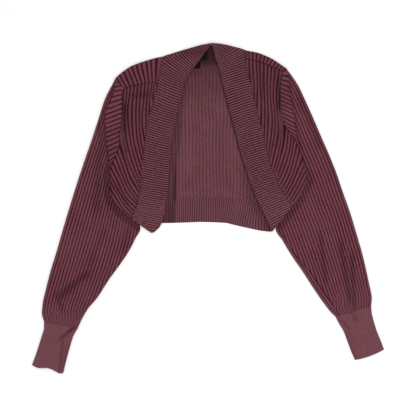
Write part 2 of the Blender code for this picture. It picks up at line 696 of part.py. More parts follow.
def label(name, box, rests_at):
    x1, x2, y1, y2 = box
    floor = rests_at + LABEL_GAP
    corners = [[(x1, y1), (x2, y1)], [(x1, y2), (x2, y2)]]
    upper = [[(x, y, floor + LABEL_THICKNESS) for x, y in row] for row in corners]
    lower = [[(x, y, floor) for x, y in row] for row in corners]
    return cloth(name, upper, lower, [0, 1], BLACK)


def clear_scene():
    for item in list(bpy.data.objects):
        bpy.data.objects.remove(item, do_unlink=True)


def main():
    clear_scene()
    back()
    neck_band()
    hem_band()
    band("band_left", BAND_LEFT, 17, 86, 87.2)
    band("band_right", BAND_RIGHT, 11, 81, 88.3)
    front("front_left", FRONT_LEFT, BAND_LEFT, -1, 6, [5.2, 5.4, 5.6, 5.8], ARMHOLE_LEFT, SHOULDER_LEFT)
    front("front_right", FRONT_RIGHT, BAND_RIGHT, 1, 10, [10.2, 10.4, 10.6, 10.8],
          ARMHOLE_RIGHT, SHOULDER_RIGHT)
    for name, sections, ribs, armhole, fold, side in (
            ("left", SLEEVE_LEFT, CAP_RIBS_LEFT, ARMHOLE_LEFT, CAP_FOLD_LEFT, -1),
            ("right", SLEEVE_RIGHT, CAP_RIBS_RIGHT, ARMHOLE_RIGHT, CAP_FOLD_RIGHT, 1)):
        sleeve = sleeve_tube("sleeve_" + name, sections)
        join(sleeve, cap("cap_" + name, ribs, armhole, fold, side))
    cuff("cuff_left", CUFF_LEFT)
    cuff("cuff_right", CUFF_RIGHT)
    label("neck_label", NECK_LABEL, CLOTH)
    label("size_tab", SIZE_TAB, CLOTH + INSIDE_RIB)


main()
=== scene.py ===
# %% [markdown]
# # A cropped open-front cardigan in rib knit, laid flat
# The packed solids are the frame: they give every piece its place and its size. This script dresses
# each of them in knitted cloth. Sizes are those of the laid pieces, in millimetres, and they become
# metres when a mesh is made. Seams, edges and ribs come from measurements. Creases and shades were
# placed by comparing one region after another with the photograph.

# %% The frame and the tools
import math

import bmesh
import bpy
import numpy as np
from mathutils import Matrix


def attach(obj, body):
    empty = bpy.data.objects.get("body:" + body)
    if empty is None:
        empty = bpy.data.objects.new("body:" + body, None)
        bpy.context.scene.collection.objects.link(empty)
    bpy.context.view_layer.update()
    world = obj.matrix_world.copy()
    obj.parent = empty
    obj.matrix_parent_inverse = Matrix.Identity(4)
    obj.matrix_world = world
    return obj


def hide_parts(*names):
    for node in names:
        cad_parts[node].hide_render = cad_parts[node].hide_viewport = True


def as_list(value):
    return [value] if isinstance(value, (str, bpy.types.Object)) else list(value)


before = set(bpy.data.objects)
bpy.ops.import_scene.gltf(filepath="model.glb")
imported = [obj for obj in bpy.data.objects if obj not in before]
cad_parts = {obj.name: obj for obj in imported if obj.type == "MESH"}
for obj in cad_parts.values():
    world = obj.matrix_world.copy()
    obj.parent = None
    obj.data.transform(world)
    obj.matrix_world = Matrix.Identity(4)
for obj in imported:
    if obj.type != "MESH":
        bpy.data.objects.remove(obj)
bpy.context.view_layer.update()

print("nodes in the frame:", ", ".join(sorted(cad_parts)))

# %% [markdown]
# ## The cut of the garment
# A knitted garment is a handful of panels. Each panel is known by its ribs: a row of a table says
# where one rib starts, how it bends and where it ends. Tables with few rows are easy to correct, and
# the hundreds of ribs and stitches between the rows are worked out by functions. Each table stands
# with the piece that needs it first. All of them look down on the garment, with x to the right and y
# towards the neck. Where a function takes a side, -1 is the left of the picture and 1 the right.

# %% Thickness of the layers, in millimetres
MM = 0.001
CLOTH = 1.5         # wall of the knit between its ribs
RIB = 0.95          # height of a broad rib
INSIDE_RIB = 0.35   # height of a broad rib on the inside of the back
LAYER_GAP = 0.6     # air between cloth that lies on cloth
SEAM_GAP = 0.2      # half width of the line where two pieces are linked
SEAM_DIP = 0.6      # how far cloth dips at such a line
TURNED_GAP = 0.2    # a turned edge ends this far above what it lies on
LIP = 3.0           # width of the rounding where cloth turns over an edge
print("one layer of cloth is", CLOTH, "mm thick, and a broad rib stands", RIB, "mm proud")

# %% [markdown]
# ## Reading the tables smoothly
# Straight lines between the rows of a table would leave corners in the cloth. A cubic course through
# the rows doesn't, and this one (monotone Hermite) never swings past a row, so an edge stays where
# the pattern has it. It works on whole arrays, so that a panel of a hundred thousand points is quick.

# %% A smooth course through a table
class Course:
    """The columns of a table as smooth functions of its first column."""

    def __init__(self, rows):
        rows = sorted(rows)
        self.at = np.array([row[0] for row in rows], float)
        self.to = np.array([row[1:] for row in rows], float)
        rise = np.diff(self.to, axis=0) / np.diff(self.at)[:, None]
        before, after = rise[:-1], rise[1:]
        same_way = before * after > 0
        mean = 2 * before * after / np.where(same_way, before + after, 1)
        self.slope = np.vstack([rise[:1], np.where(same_way, mean, 0), rise[-1:]])

    def __call__(self, at):
        at = np.clip(np.asarray(at, float), self.at[0], self.at[-1])
        row = np.clip(np.searchsorted(self.at, at, side="right") - 1, 0, len(self.at) - 2)
        span = (self.at[row + 1] - self.at[row])[..., None]
        t = (at - self.at[row])[..., None] / span
        p, q = self.to[row], self.to[row + 1]
        m, n = self.slope[row] * span, self.slope[row + 1] * span
        blend = t * t * (3 - 2 * t)
        value = p + (q - p) * blend + m * t * (1 - t) ** 2 - n * t * t * (1 - t)
        return value[..., 0] if value.shape[-1] == 1 else value


print("a course through 0, 1 and 4 passes", Course([(0, 0), (1, 1), (2, 4)])(1.5), "between 1 and 4")

# %% Steps, mixtures and a steady wobble
def smooth(share):
    """0 up to 0, 1 from 1 on, and a soft step between them."""
    share = np.clip(share, 0.0, 1.0)
    return share * share * (3 - 2 * share)


def mix(a, b, share):
    """a at share 0, b at share 1."""
    return a + (b - a) * share


def uneven(u, v, seed):
    """A gentle wobble, mostly between -1 and 1, the same on every run."""
    return (np.sin(1.7 * u + 0.9 * v + seed) + np.sin(0.8 * u - 1.9 * v + 2.3 * seed)
            + np.sin(2.9 * u + 2.1 * v + 4.1 * seed) + np.sin(-0.6 * u + 3.1 * v + 0.7 * seed)) / 2.6


print("a quarter of the way, a soft step has come", smooth(0.25), "of its height")

# %% [markdown]
# ## How high each layer lies
# The sleeves are folded down under the body, so the body climbs on to them at both sides. A sleeve
# stays low beside the body and rises to its own height where it is free. These functions answer one
# question, "how high is the cloth here", for every piece, so that the layers stay clear of each other.

# %% The body's side edges, from the shoulder down: y, and x there
# First the edge where the sleeve's cloth turns down beside the armhole, then that of front and back.
CAP_FOLD_LEFT = [
    (277, -205.5), (268, -206), (253, -208), (240, -213), (224, -220), (209, -225.5), (194, -227),
    (172, -225.5), (150, -224), (128, -221), (106, -218), (84, -216),
]
CAP_FOLD_RIGHT = [
    (304, 174.5), (290, 178), (282, 179), (264, 179), (253, 180), (238, 183), (222, 187),
    (211, 189), (198, 191), (185, 191.5), (172, 194), (156, 196), (143, 200), (132, 202),
]
SIDE_LEFT = [
    (79, -216), (62, -216), (40, -216), (18, -211), (4, -200), (-9, -187), (-20, -174), (-29, -161),
    (-37, -150), (-47, -136), (-54, -126),
]
SIDE_RIGHT = [
    (128, 202), (112, 207), (99, 209), (84, 213), (70, 218), (62, 219), (48, 213), (40, 209),
    (26, 202), (15, 196), (7, 189), (-4, 180), (-13, 172), (-31, 158.5), (-43, 148.5), (-51, 142),
]
BODY_EDGES = {
    -1: [(279, -205)] + CAP_FOLD_LEFT + SIDE_LEFT,
    1: [(305, 174)] + CAP_FOLD_RIGHT + SIDE_RIGHT,
}
widest = max(x for _, x in SIDE_RIGHT) - min(x for _, x in SIDE_LEFT)
print("the body is", widest, "mm wide at its widest")

# %% Heights of the layers, in millimetres
SLEEVE_UNDER_BODY = 3.4                       # a flat sleeve where the body lies on it
SLEEVE_FREE = 6.2                             # a flat sleeve where it lies free
SLEEVE_RISE = 25.0                            # distance from the body over which it rises
LOW_STRIP = 10.0                              # low down beside the body it begins to rise later
LOW_STRIP_TOP, LOW_STRIP_FADE = 110.0, 40.0   # that holds below this y, and comes in over this
BODY_CLIMB = 3.95                             # the body's underside where it lies on a sleeve
CLIMB_FOOT, CLIMB_TOP = 92.0, 148.0           # distances from the middle line where it climbs


def back_floor(x):
    """Underside of the back: on the surface in the middle, on the sleeves beside it."""
    return BODY_CLIMB * np.clip((np.abs(x) - CLIMB_FOOT) / (CLIMB_TOP - CLIMB_FOOT), 0, 1)


def top_layer(x):
    """Upper side, in the grooves, of cloth that lies on the back."""
    return back_floor(x) + 2 * CLOTH + INSIDE_RIB + LAYER_GAP


def segment_distance(x, y, x1, y1, x2, y2):
    """Distance to a straight stretch, and how far along it the nearest point lies, from 0 to 1."""
    run = ((x - x1) * (x2 - x1) + (y - y1) * (y2 - y1)) / ((x2 - x1) ** 2 + (y2 - y1) ** 2)
    run = np.clip(run, 0, 1)
    return np.hypot(x - mix(x1, x2, run), y - mix(y1, y2, run)), run


def distance_to(x, y, line):
    """Distance to a line of points."""
    nearest = np.full_like(x, np.inf)
    for (x1, y1), (x2, y2) in zip(line, line[1:]):
        nearest = np.minimum(nearest, segment_distance(x, y, x1, y1, x2, y2)[0])
    return nearest


def outside_body(x, y, side):
    """Distance from the body's side edge, negative under the body."""
    edge = BODY_EDGES[side]
    nearest = distance_to(x, y, [(edge_x, edge_y) for edge_y, edge_x in edge])
    ys, xs = np.array(sorted(edge)).T
    out = (y < edge[-1][0]) | ((x - np.interp(y, ys, xs)) * side > 0)
    return np.where(out, nearest, -nearest)


def clear_of_body(x, y, side):
    """Distance from where a sleeve may begin to rise. Below the armhole it stays low for longer."""
    return outside_body(x, y, side) - LOW_STRIP * smooth((LOW_STRIP_TOP - y) / LOW_STRIP_FADE)


print("the body's underside climbs to", BODY_CLIMB, "mm over the sleeves")

# %% Ribs, and creases and shades
RIB_ROUNDNESS = 0.65   # below 1, so that tops are broad and round and grooves narrow


def rib_profile(rib):
    """0 in a groove, at each whole number, and 1 over the round top between two grooves."""
    return np.abs(np.sin(math.pi * rib)) ** RIB_ROUNDNESS


def creased(x, y, creases):
    """Sum of the troughs and ridges at x, y. Each swells and dies away along its length."""
    height = np.zeros_like(x)
    for x1, y1, x2, y2, half_width, rise in creases:
        away, run = segment_distance(x, y, x1, y1, x2, y2)
        swell = np.sin(math.pi * mix(0.12, 0.9, run)) ** 1.3
        height += rise * smooth(1 - away / half_width) * swell
    return height


def shaded(x, y, shades):
    """How dark the cloth lies at x, y, from 0 to 1. A shade fades over its first and last eighth."""
    dark = np.zeros_like(x)
    for x1, y1, x2, y2, half_width, depth in shades:
        away, run = segment_distance(x, y, x1, y1, x2, y2)
        fade = smooth(np.minimum(run, 1 - run) * 5 + 0.4)
        dark = np.maximum(dark, depth * smooth(1 - away / half_width) * fade)
    return dark


print("a rib has", round(float(rib_profile(0.25)), 2), "of its height halfway up its side")

# %% [markdown]
# ## Knitted cloth as a mesh
# A piece of cloth could be a single surface with a thickness modifier. Here it is a closed wall made
# from two grids, because the ribs stand out on one side only. Five values are kept at every point for
# the materials: which rib it is on, how far along the rib it lies, how far the ribs are pulled open
# there together with painted light that narrows the grooves in places, whether the inside of the knit
# shows, and how deep in painted shade it lies.

# %% The faces of a wall between two grids
def cloth_faces(rows, columns, picks, loop, present):
    """Faces of both sides and of every rim. The outer grid's points come first, then the inner's.

    The outer side has all columns and the inner side only the picked ones. loop joins the last
    column to the first, and present(row, column) says whether there is any cloth.
    """
    spans = list(zip(picks, picks[1:])) + ([(picks[-1], columns)] if loop else [])
    faces = []

    def o(row, column):
        return row * columns + column % columns

    def i(row, pick):
        return rows * columns + row * len(picks) + pick % len(picks)

    def here(row, span):
        if loop:
            span %= len(spans)
        inside = 0 <= row < rows - 1 and 0 <= span < len(spans)
        return inside and (present is None or present(row, picks[span]))

    for row in range(rows - 1):
        for span, (first, last) in enumerate(spans):
            if not here(row, span):
                continue
            for c in range(first, last):
                faces.append((o(row, c), o(row, c + 1), o(row + 1, c + 1), o(row + 1, c)))
            faces.append((i(row, span), i(row + 1, span), i(row + 1, span + 1), i(row, span + 1)))
            fine = list(range(first, last + 1))
            if not here(row - 1, span):
                faces.append([o(row, c) for c in reversed(fine)] + [i(row, span), i(row, span + 1)])
            if not here(row + 1, span):
                faces.append([o(row + 1, c) for c in fine] + [i(row + 1, span + 1), i(row + 1, span)])
            if not here(row, span - 1):
                faces.append((o(row, first), o(row + 1, first), i(row + 1, span), i(row, span)))
            if not here(row, span + 1):
                faces.append((o(row + 1, last), o(row, last), i(row, span + 1), i(row + 1, span + 1)))
    return faces


print("a wall of one square has", len(cloth_faces(2, 2, [0, 1], False, None)), "faces")

# %% One piece of cloth, closed along every cut edge
KEPT_VALUES = ("rib", "run", "open", "inside", "shade")
SHARP_ANGLE = math.radians(55)
PIECES = {}


def face_up(mesh):
    """Turn every face outwards, and leave the closed rim of the cloth sharp."""
    shape = bmesh.new()
    shape.from_mesh(mesh)
    bmesh.ops.recalc_face_normals(shape, faces=shape.faces)
    for edge in shape.edges:
        if len(edge.link_faces) == 2 and edge.calc_face_angle(0) > SHARP_ANGLE:
            edge.smooth = False
    shape.to_mesh(mesh)
    shape.free()


def cloth(name, outer, inner, skip, loop=False, present=None, **values):
    """outer and inner are grids of points, rows by columns. inner keeps every skip-th column only."""
    rows, columns = outer.shape[:2]
    picks = list(range(0, columns - (0 if loop else 1), skip)) + ([] if loop else [columns - 1])
    faces = cloth_faces(rows, columns, picks, loop, present)
    points = np.vstack([outer.reshape(-1, 3), inner[:, picks].reshape(-1, 3)]) * MM
    used = np.unique([corner for face in faces for corner in face])
    place = np.zeros(len(points), int)
    place[used] = np.arange(len(used))
    mesh = bpy.data.meshes.new(name)
    mesh.from_pydata(points[used].tolist(), [], [[int(place[c]) for c in face] for face in faces])
    for key in KEPT_VALUES:
        at_points = np.broadcast_to(values.get(key, 0.0), (rows, columns))
        flat = np.concatenate([at_points.ravel(), at_points[:, picks].ravel()])[used]
        mesh.attributes.new(key, "FLOAT", "POINT").data.foreach_set("value", flat.astype(np.float32))
    mesh.shade_smooth()
    face_up(mesh)
    piece = bpy.data.objects.new(name, mesh)
    bpy.context.scene.collection.objects.link(piece)
    print(name, "has", len(faces), "faces")
    return piece


print("kept at every point:", ", ".join(KEPT_VALUES))

# %% Grids, and the roundings at an edge
def grid(x, y, z):
    """Points in rows and columns, each with its x, y and z."""
    return np.stack(np.broadcast_arrays(x, y, z), axis=-1)


def over_edge(near, lip, top, bottom):
    """Height of cloth that rounds down to bottom at an edge that is near millimetres away."""
    share = np.clip(near / lip, 0, 1)
    return bottom + (top - bottom) * np.sqrt(np.clip(1 - (1 - share) ** 2, 0, 1))


def close_at_ends(count, evenness):
    """Shares from 0 to 1, close together near both ends, where cloth bends most."""
    share, power = np.linspace(0, 1, count), 1 + 1 / evenness
    return np.where(share < 0.5, 0.5 * (2 * share) ** power, 1 - 0.5 * (2 - 2 * share) ** power)


print("rows across a band start at", np.round(close_at_ends(25, 1.6)[:4], 3))

# %% [markdown]
# ## The band round neck and fronts
# On the garment this is one long strip of narrow rib, knitted sideways, so its ribs run across it.
# It could be a flat strip bent along a curve. A table of its ribs is simpler to follow here, because
# the strip fans out round the neck and folds under at its lower corners. Every rib gets eight
# columns, and rows that are close together at both edges of the band round it off there.

# %% The band's ribs: rib, x and y at the outer seam, x and y at the free edge
BAND_LEFT = [
    (0, 6.2, 362.5, 6.6, 358.5), (3.5, -13, 359, -4.8, 344), (7, -32, 354, -15.5, 328.5),
    (10.5, -53, 348, -24.5, 316.5), (14.5, -79, 340, -35.6, 302.5), (17.5, -98, 333, -43, 292.2),
    (19, -102, 322, -46, 286), (23, -107, 298, -53, 272.8), (27, -110, 274, -56.4, 252.8),
    (31, -116, 251, -61.6, 231), (35.5, -122, 226, -67.3, 206.3), (39.5, -129, 205, -71, 186.3),
    (42.5, -133, 188, -74.8, 171.3), (47.5, -137, 162, -78.5, 147.4),
    (53.5, -141, 130, -82.4, 116.7), (58.5, -144, 105, -84, 92.8), (64.5, -147, 75, -85.6, 63.3),
    (71.5, -150, 40, -90.4, 29.3), (78, -155, 9, -94.2, -1.5), (82, -162, -9, -99, -22.4),
    (85.5, -166, -25, -104.3, -38.5), (87, -150, -37, -109.3, -45.4),
    (88.2, -136, -47, -116, -51.2), (89, -126, -54, -120, -54.5),
]
BAND_RIGHT = [
    (1, 6.9, 362.8, 7.4, 358.5), (3, 21, 362, 11, 350.5), (5.75, 40, 359, 14.2, 338.5),
    (9, 62, 353.5, 17.6, 324.5), (11, 78, 348, 20.8, 317), (15, 81, 326, 24.8, 303.2),
    (19, 86, 304, 29, 285.5), (23.5, 92, 280.5, 34.8, 264), (28.5, 98, 255, 41.3, 237),
    (34, 105, 226, 49.4, 207), (40, 112.5, 195, 57.5, 176.5), (46.5, 120.5, 163, 65.7, 145),
    (52.5, 127.5, 133, 73.5, 115.5), (59, 135.5, 101, 83.6, 84.4), (66, 147.5, 68, 94.3, 50.6),
    (71, 159, 45, 104.7, 26), (75.5, 169.5, 26, 115, 3), (79, 178, 11, 123.6, -14),
    (81.5, 180.5, -1, 128.8, -25.8), (83, 172, -13, 132.2, -33.7), (85, 158.5, -31, 136.6, -43.6),
    (86, 148.5, -43, 137.4, -48.6), (87, 142, -51, 138, -52),
]
# Where the band lies in shade: one end, the other end, half width, darkness.
BAND_SHADES = [(-62, 338, -4, 350, 20, 0.28)]
print("the band's halves have", BAND_LEFT[-1][0], "and", BAND_RIGHT[-1][0], "ribs")

# %% The two halves of the band
FINE_RIB = 0.6      # height of a narrow rib
APEX_LOFT = 5.0     # the band stands up this much behind the neck
APEX_RIBS = 20.0    # and comes down over so many ribs
BAND_BOW = 1.1      # how far a rib bows sideways between the two edges
BAND_WANDER = 0.6   # how far it strays beside that


def band(name, table, fold_to, fold_from, tip_from):
    """Half of the band. Its outer edge turns down to the cloth below before rib fold_to and after
    rib fold_from. Its free edge does so after rib tip_from."""
    first, last = table[0][0], table[-1][0]
    ribs = np.linspace(first, last, 8 * (last - first) + 1)[None, :]
    ox, oy, ix, iy = np.moveaxis(Course(table)(ribs[0]), -1, 0)[:, None, :]
    width = np.hypot(ix - ox, iy - oy)
    lip = np.minimum(LIP, 0.3 * width)
    share = close_at_ends(25, 1.6)[:, None]
    inset = share * width
    loft = APEX_LOFT * (1 - smooth(ribs / APEX_RIBS))
    turned_out = np.maximum(1 - smooth(ribs - fold_to + 1), smooth(ribs - fold_from))
    turned_in = smooth(ribs - tip_from)
    # Ribs lie straight behind the neck and at the lower corner, and at both edges everywhere.
    bow = BAND_BOW * np.sin(math.pi * share) * smooth(ribs / 12) * (1 - smooth((ribs - 76) / 8))
    wander = BAND_WANDER * uneven(ribs / 5.0, share * 3, 1.0 if ox.mean() < 0 else 5.0)
    shift = (bow + wander) * smooth(inset / 6) * smooth((width - inset) / 6)

    def one_side(wall, down):
        """The upper side at 0, 0. The lower side lies deeper by down, and is narrower by wall at
        turned edges."""
        along = (wall * turned_out + inset * (width - wall * (turned_out + turned_in)) / width) / width
        x = mix(ox, ix, along) + (iy - oy) / width * shift
        y = mix(oy, iy, along) - (ix - ox) / width * shift
        below = back_floor(x) + TURNED_GAP
        top = top_layer(x) + loft + 0.25 * (1 + uneven(x / 30, y / 30, 2.0)) - down
        seam = top - (0 if down else SEAM_DIP)
        z_outer = over_edge(inset, lip, top, mix(seam, below, turned_out))
        z_inner = over_edge(width - inset, lip, top, mix(seam, below, turned_in))
        return x, y, np.where(inset < width / 2, z_outer, z_inner)

    x, y, z = one_side(0, 0)
    relief = FINE_RIB * rib_profile(ribs) * smooth(inset / 2.5) * smooth((width - inset) / 1.6)
    lower = grid(*one_side(np.minimum(CLOTH + 0.2, 0.28 * width), CLOTH))
    # Painted light towards the lower corner: the grooves narrow there, which leaves more of the light yarn.
    PIECES[name] = cloth(name, grid(x, y, z + relief), lower, rib=ribs, run=inset, skip=8,
                         open=-smooth((ribs - 68) / 14), shade=shaded(x, y, BAND_SHADES))


band("knit_band_left", BAND_LEFT, 17.5, 85.5, 86.4)
band("knit_band_right", BAND_RIGHT, 11, 81.5, 86.3)

# %% [markdown]
# ## The front panels
# The fronts are broad rib. Their ribs hang from the shoulder seam and the armhole, bend inwards and
# run out one after another on the band's seam, which is what gives the short curved front its swing.
# The outer side of each panel is not sewn to anything that shows: the cloth turns under there, over
# the back, so the grid rounds down along its first or last rib.

# %% The fronts' seams: armholes (y, and x there) and shoulder seams (x, and y there)
ARMHOLE_LEFT = [
    (279, -205), (262, -185), (249, -188.5), (227, -188), (205, -188), (183, -191), (161, -194),
    (139, -194), (132, -196), (117, -202), (101, -209), (90, -213), (79, -216),
]
ARMHOLE_RIGHT = [
    (305, 175), (300, 162.5), (290, 160), (271, 158.3), (255, 158), (238, 158.8), (220, 161),
    (205, 162.3), (189, 165), (176, 172), (165, 180), (152, 189), (136, 198), (128, 202),
]
SHOULDER_LEFT = [(-185, 262), (-172, 267), (-150, 273), (-128, 276), (-110, 277)]
SHOULDER_RIGHT = [
    (80, 329.5), (92, 328), (103, 326), (114, 321), (125, 318), (136, 312), (147, 308), (162, 300),
]
print("the shoulder seams span", SHOULDER_RIGHT[-1][0] - SHOULDER_LEFT[0][0], "mm")

# %% The fronts' ribs: rib, its upper end, a third of the way, two thirds, and the band rib it meets
FRONT_LEFT = [
    (0, -212.4, 24, -199, 3, -181, -14, 85.4), (1, -216, 45, -201, 20, -185, -4, 84.7),
    (2, -215.8, 61, -202, 36, -185, 8, 83.4), (3, -216, 77, -202, 48, -183, 17, 81.8),
    (4, -212.5, 88, -198, 59, -182, 26, 80), (5, -207.5, 100, -193, 66, -178, 33, 78.2),
    (6, -202.5, 113, -191, 80, -175.5, 44, 77), (7, -197.5, 124, -187, 90, -173, 53, 75.3),
    (8, -194.5, 136, -182.5, 101, -170.5, 67, 72.8), (9, -185, 260, -187.5, 185, -178, 112, 70.7),
    (10, -177.5, 265, -183, 188, -172, 120, 68.8), (11, -169.5, 267, -176, 208, -168, 136, 65.7),
    (12, -161.5, 270, -167, 211, -163, 147, 62.3), (13, -154, 272, -158, 218, -156, 159, 58.9),
    (14, -146, 274, -150, 223, -150, 169, 55.5), (15, -138, 275, -141.5, 233, -145, 190, 50.1),
    (16, -130, 276, -134, 240, -136, 204, 45.8), (17, -122.5, 276.5, -126, 250, -128.5, 228, 39.5),
    (19, -113, 277, -112.8, 274, -112.8, 271, 28),
]
FRONT_RIGHT = [
    (0, 81.6, 329, 81.6, 328, 81.7, 327, 15), (2, 98, 327, 98.8, 298, 101, 268, 31.7),
    (3, 105.5, 325, 108, 287, 108, 251, 35.5), (4, 113.5, 321, 114, 277, 117, 228, 43.3),
    (5, 122.5, 318.5, 123, 267, 125, 211, 48.5), (6, 131, 314.5, 130, 261, 132, 198, 52.9),
    (7, 139.5, 311, 136.5, 254, 141, 185, 56.4), (8, 147.5, 307.5, 143, 251, 147.3, 178, 58.4),
    (9, 156, 303.5, 150, 248, 154, 168, 61.3), (10, 162.5, 300.3, 156.8, 228, 160.5, 154, 63.7),
    (11, 170, 178, 166, 142, 157, 106, 65.5), (12, 176, 170, 172, 131, 162, 96, 67.2),
    (13, 183, 160, 178, 123, 167, 88, 68.5), (14, 189, 152, 183, 116, 173, 81, 70.1),
    (15, 195, 141, 187, 103, 177, 71, 71.9), (16, 201, 129, 193, 96, 182, 64, 73.6),
    (17, 207, 109, 195.5, 79.5, 183.5, 52, 75.3), (18, 210.6, 92, 199, 66, 187, 43, 76.8),
    (19, 214, 81, 202.5, 58, 190, 33, 78.8), (20, 217.4, 71, 206.5, 49, 193.5, 26, 80.1),
    (21, 218.8, 61, 208.5, 39, 196, 15, 81.4),
]
print("the fronts have", FRONT_LEFT[-1][0], "and", FRONT_RIGHT[-1][0], "ribs")

# %% Creases of the fronts, and places where they lie deep between other cloth and stay dark
# One end, the other end, half width, and height, which is below zero for a trough. A shade has its
# darkness instead.
BODY_CREASES = [
    (-184, 248, -180, 90, 10, 0.9), (-150, 262, -146, 160, 9, 0.7), (-196, 60, -160, -12, 9, 0.8),
    (178, 140, 196, 40, 10, 0.9), (140, 300, 138, 180, 9, 0.6), (108, 318, 112, 240, 8, 0.6),
    (-172, 150, -150, 40, 7, 0.6), (168, 90, 178, 20, 7, 0.6),
]
BODY_SHADES = [
    (-183, 232, -184, 165, 12, 0.45), (-186, 160, -176, 118, 10, 0.3), (-205, 60, -176, 6, 9, 0.25),
    (154, 292, 155, 215, 11, 0.4), (160, 170, 148, 130, 10, 0.25), (-172, 246, -126, 250, 14, 0.3),
    (119, 302, 119, 236, 9, 0.3),
]
print(len(BODY_CREASES), "creases and", len(BODY_SHADES), "shades placed by hand")

# %% The courses of a front's ribs
def through_four(points, shares):
    """Points at those shares of smooth curves, each through four points, for many curves at once."""
    place = np.minimum(shares, 0.99999) * 3
    step = place.astype(int)
    t = (place - step)[:, None, None]
    ends = np.stack([2 * points[0] - points[1], *points, 2 * points[3] - points[2]])
    a, b, c, d = (ends[step + k] for k in range(4))
    square, cube = 2 * a - 5 * b + 4 * c - d, 3 * b - a - 3 * c + d
    return 0.5 * (2 * b + (c - a) * t + square * t * t + cube * t ** 3)


def front_lines(table, band_table, side, corner_rib, seam_above, armhole, shoulder):
    """The ribs, their points from the upper end to the band, and which start at the turned side.

    Ribs from corner_rib inwards hang from the shoulder seam. The others start at the armhole, or
    below the height seam_above at the side, where the cloth turns under and has no seam.
    """
    ribs = np.linspace(table[0][0], table[-1][0], 10 * (table[-1][0] - table[0][0]) + 1)
    sx, sy, ux, uy, lx, ly, band_rib = np.moveaxis(Course(table)(ribs), -1, 0)
    hangs = (ribs - corner_rib) * side <= 0
    free = sy < seam_above
    at_armhole = Course(armhole)(sy) - side * SEAM_GAP
    start_x = np.where(hangs | free, sx, at_armhole)
    start_y = np.where(hangs, Course(shoulder)(sx) - SEAM_GAP, sy)
    end = Course(band_table)(band_rib)[:, :2] + (side * SEAM_GAP, 0)
    line = [np.stack(pair, -1) for pair in ((start_x, start_y), (ux, uy), (lx, ly))] + [end]
    return ribs, through_four(line, close_at_ends(90, 4)), free


print("a rib of a front is drawn with", len(close_at_ends(90, 4)), "points")

# %% Left and right front
SEAM_SHADE = {-1: 0.42, 1: 0.12}   # darkness along the band's seam, left and right


def front_shade(x, y, side, from_top, from_band):
    """Darker towards the shoulder, along both seams and where a shade was placed."""
    at_top = 0.42 * (1 - smooth(from_top / 4))
    at_band = SEAM_SHADE[side] * (1 - smooth(from_band / 4))
    placed = np.maximum(shaded(x, y, BODY_SHADES), np.maximum(at_top, at_band))
    return 0.1 + 0.1 * smooth((y - 60) / 160) + placed


def front(name, table, band_table, side, *seams):
    """One front panel. seams is what front_lines takes after the side."""
    ribs, flat, free = front_lines(table, band_table, side, *seams)
    x, y = flat[..., 0], flat[..., 1]
    run = np.cumsum(np.hypot(*np.diff(flat, axis=0, prepend=flat[:1]).transpose(2, 0, 1)), axis=0)
    from_top, from_band = run + 20 * free, run[-1] - run   # a turned side counts as far from a seam
    beside = np.minimum(from_top, from_band)
    side_rib = 0 if side < 0 else -1
    turned = np.concatenate([flat[0, free][:: -side], flat[:, side_rib]])
    near = distance_to(x, y, turned[::2])
    below = back_floor(x) + TURNED_GAP
    top = top_layer(x) + np.maximum(creased(x, y, BODY_CREASES), -0.2)
    top = top + 0.2 * (1 + uneven(x / 26, y / 40, 3.0 + side)) - SEAM_DIP * (1 - smooth(beside / 3))
    relief = RIB * rib_profile(ribs)[None, :] * smooth(beside / 3) * smooth(near / 2)
    upper = grid(x, y, over_edge(near, LIP, top, below) + relief)
    wall = CLOTH + 0.2
    pull = np.where(near < LIP + wall, wall * (1 - near / (LIP + wall)), 0) * -side
    lower = grid(x + pull, y, over_edge(near, LIP, top - CLOTH, below))
    pulled_and_painted_light = 0.7 + 0.4 * uneven(x / 34, y / 60, 1.0)
    if side > 0:   # painted highlight: narrower grooves leave more light yarn beside the band
        pulled_and_painted_light = pulled_and_painted_light - 1.2 * (1 - smooth(from_band / 18)) * smooth((175 - y) / 40)
    PIECES[name] = cloth(name, upper, lower, rib=ribs[None, :], run=run, open=pulled_and_painted_light, skip=10,
                         shade=front_shade(x, y, side, from_top, from_band))


front("knit_front_left", FRONT_LEFT, BAND_LEFT, -1, 9, 80, ARMHOLE_LEFT, SHOULDER_LEFT)
front("knit_front_right", FRONT_RIGHT, BAND_RIGHT, 1, 10, 124, ARMHOLE_RIGHT, SHOULDER_RIGHT)

# %% [markdown]
# ## The sleeves
# A sleeve is one tube of broad rib, pressed flat. It could be a cylinder squashed by a lattice. Here
# its sections are measured across the laid sleeve, and the ribs follow the outer edge and run out
# at the inner one, as they do in a sleeve that narrows on one side. The grid is finer than the ribs,
# so the ribs may cross it freely. The cloth beside the armhole is a second strip of the same piece: it
# comes up from under the body, is sewn to the armhole and turns back down on to the sleeve.

# %% The sleeves' sections: x and y on the outer edge, x and y on the inner edge
SLEEVE_LEFT = [
    (-207, 278, -160, 165), (-227, 238, -158, 130), (-242, 191, -157, 95),
    (-257, 145, -156, 60), (-273, 99, -154, 15), (-288, 53, -149, -44),
    (-304, 2, -159, -66), (-319, -48, -174, -95), (-333, -97, -194, -125),
    (-345, -136, -218, -158), (-356, -178, -244, -198), (-363, -209, -264, -222),
    (-365, -231, -277, -244), (-360, -250, -286, -264),
]
SLEEVE_RIGHT = [
    (176, 302, 163, 205), (196, 273, 160, 165), (213, 238, 157, 125), (231, 198, 155, 88),
    (249, 156, 153, 52), (266, 117, 151, 10), (282, 77, 149, -44),
    (297, 33, 165, -73), (312, -9, 185, -106), (328, -62, 209, -141),
    (342, -112, 231, -175), (353, -161, 253, -207), (360, -198, 271, -230),
    (358.6, -216, 280.5, -239),
]
# The underarm seam of the right sleeve: section, distance from the inner edge.
UNDERARM = [(5.5, 0), (6, 7.6), (7.5, 6.1), (8.5, 10), (10.4, 15.3), (12, 11.3), (13, 8)]
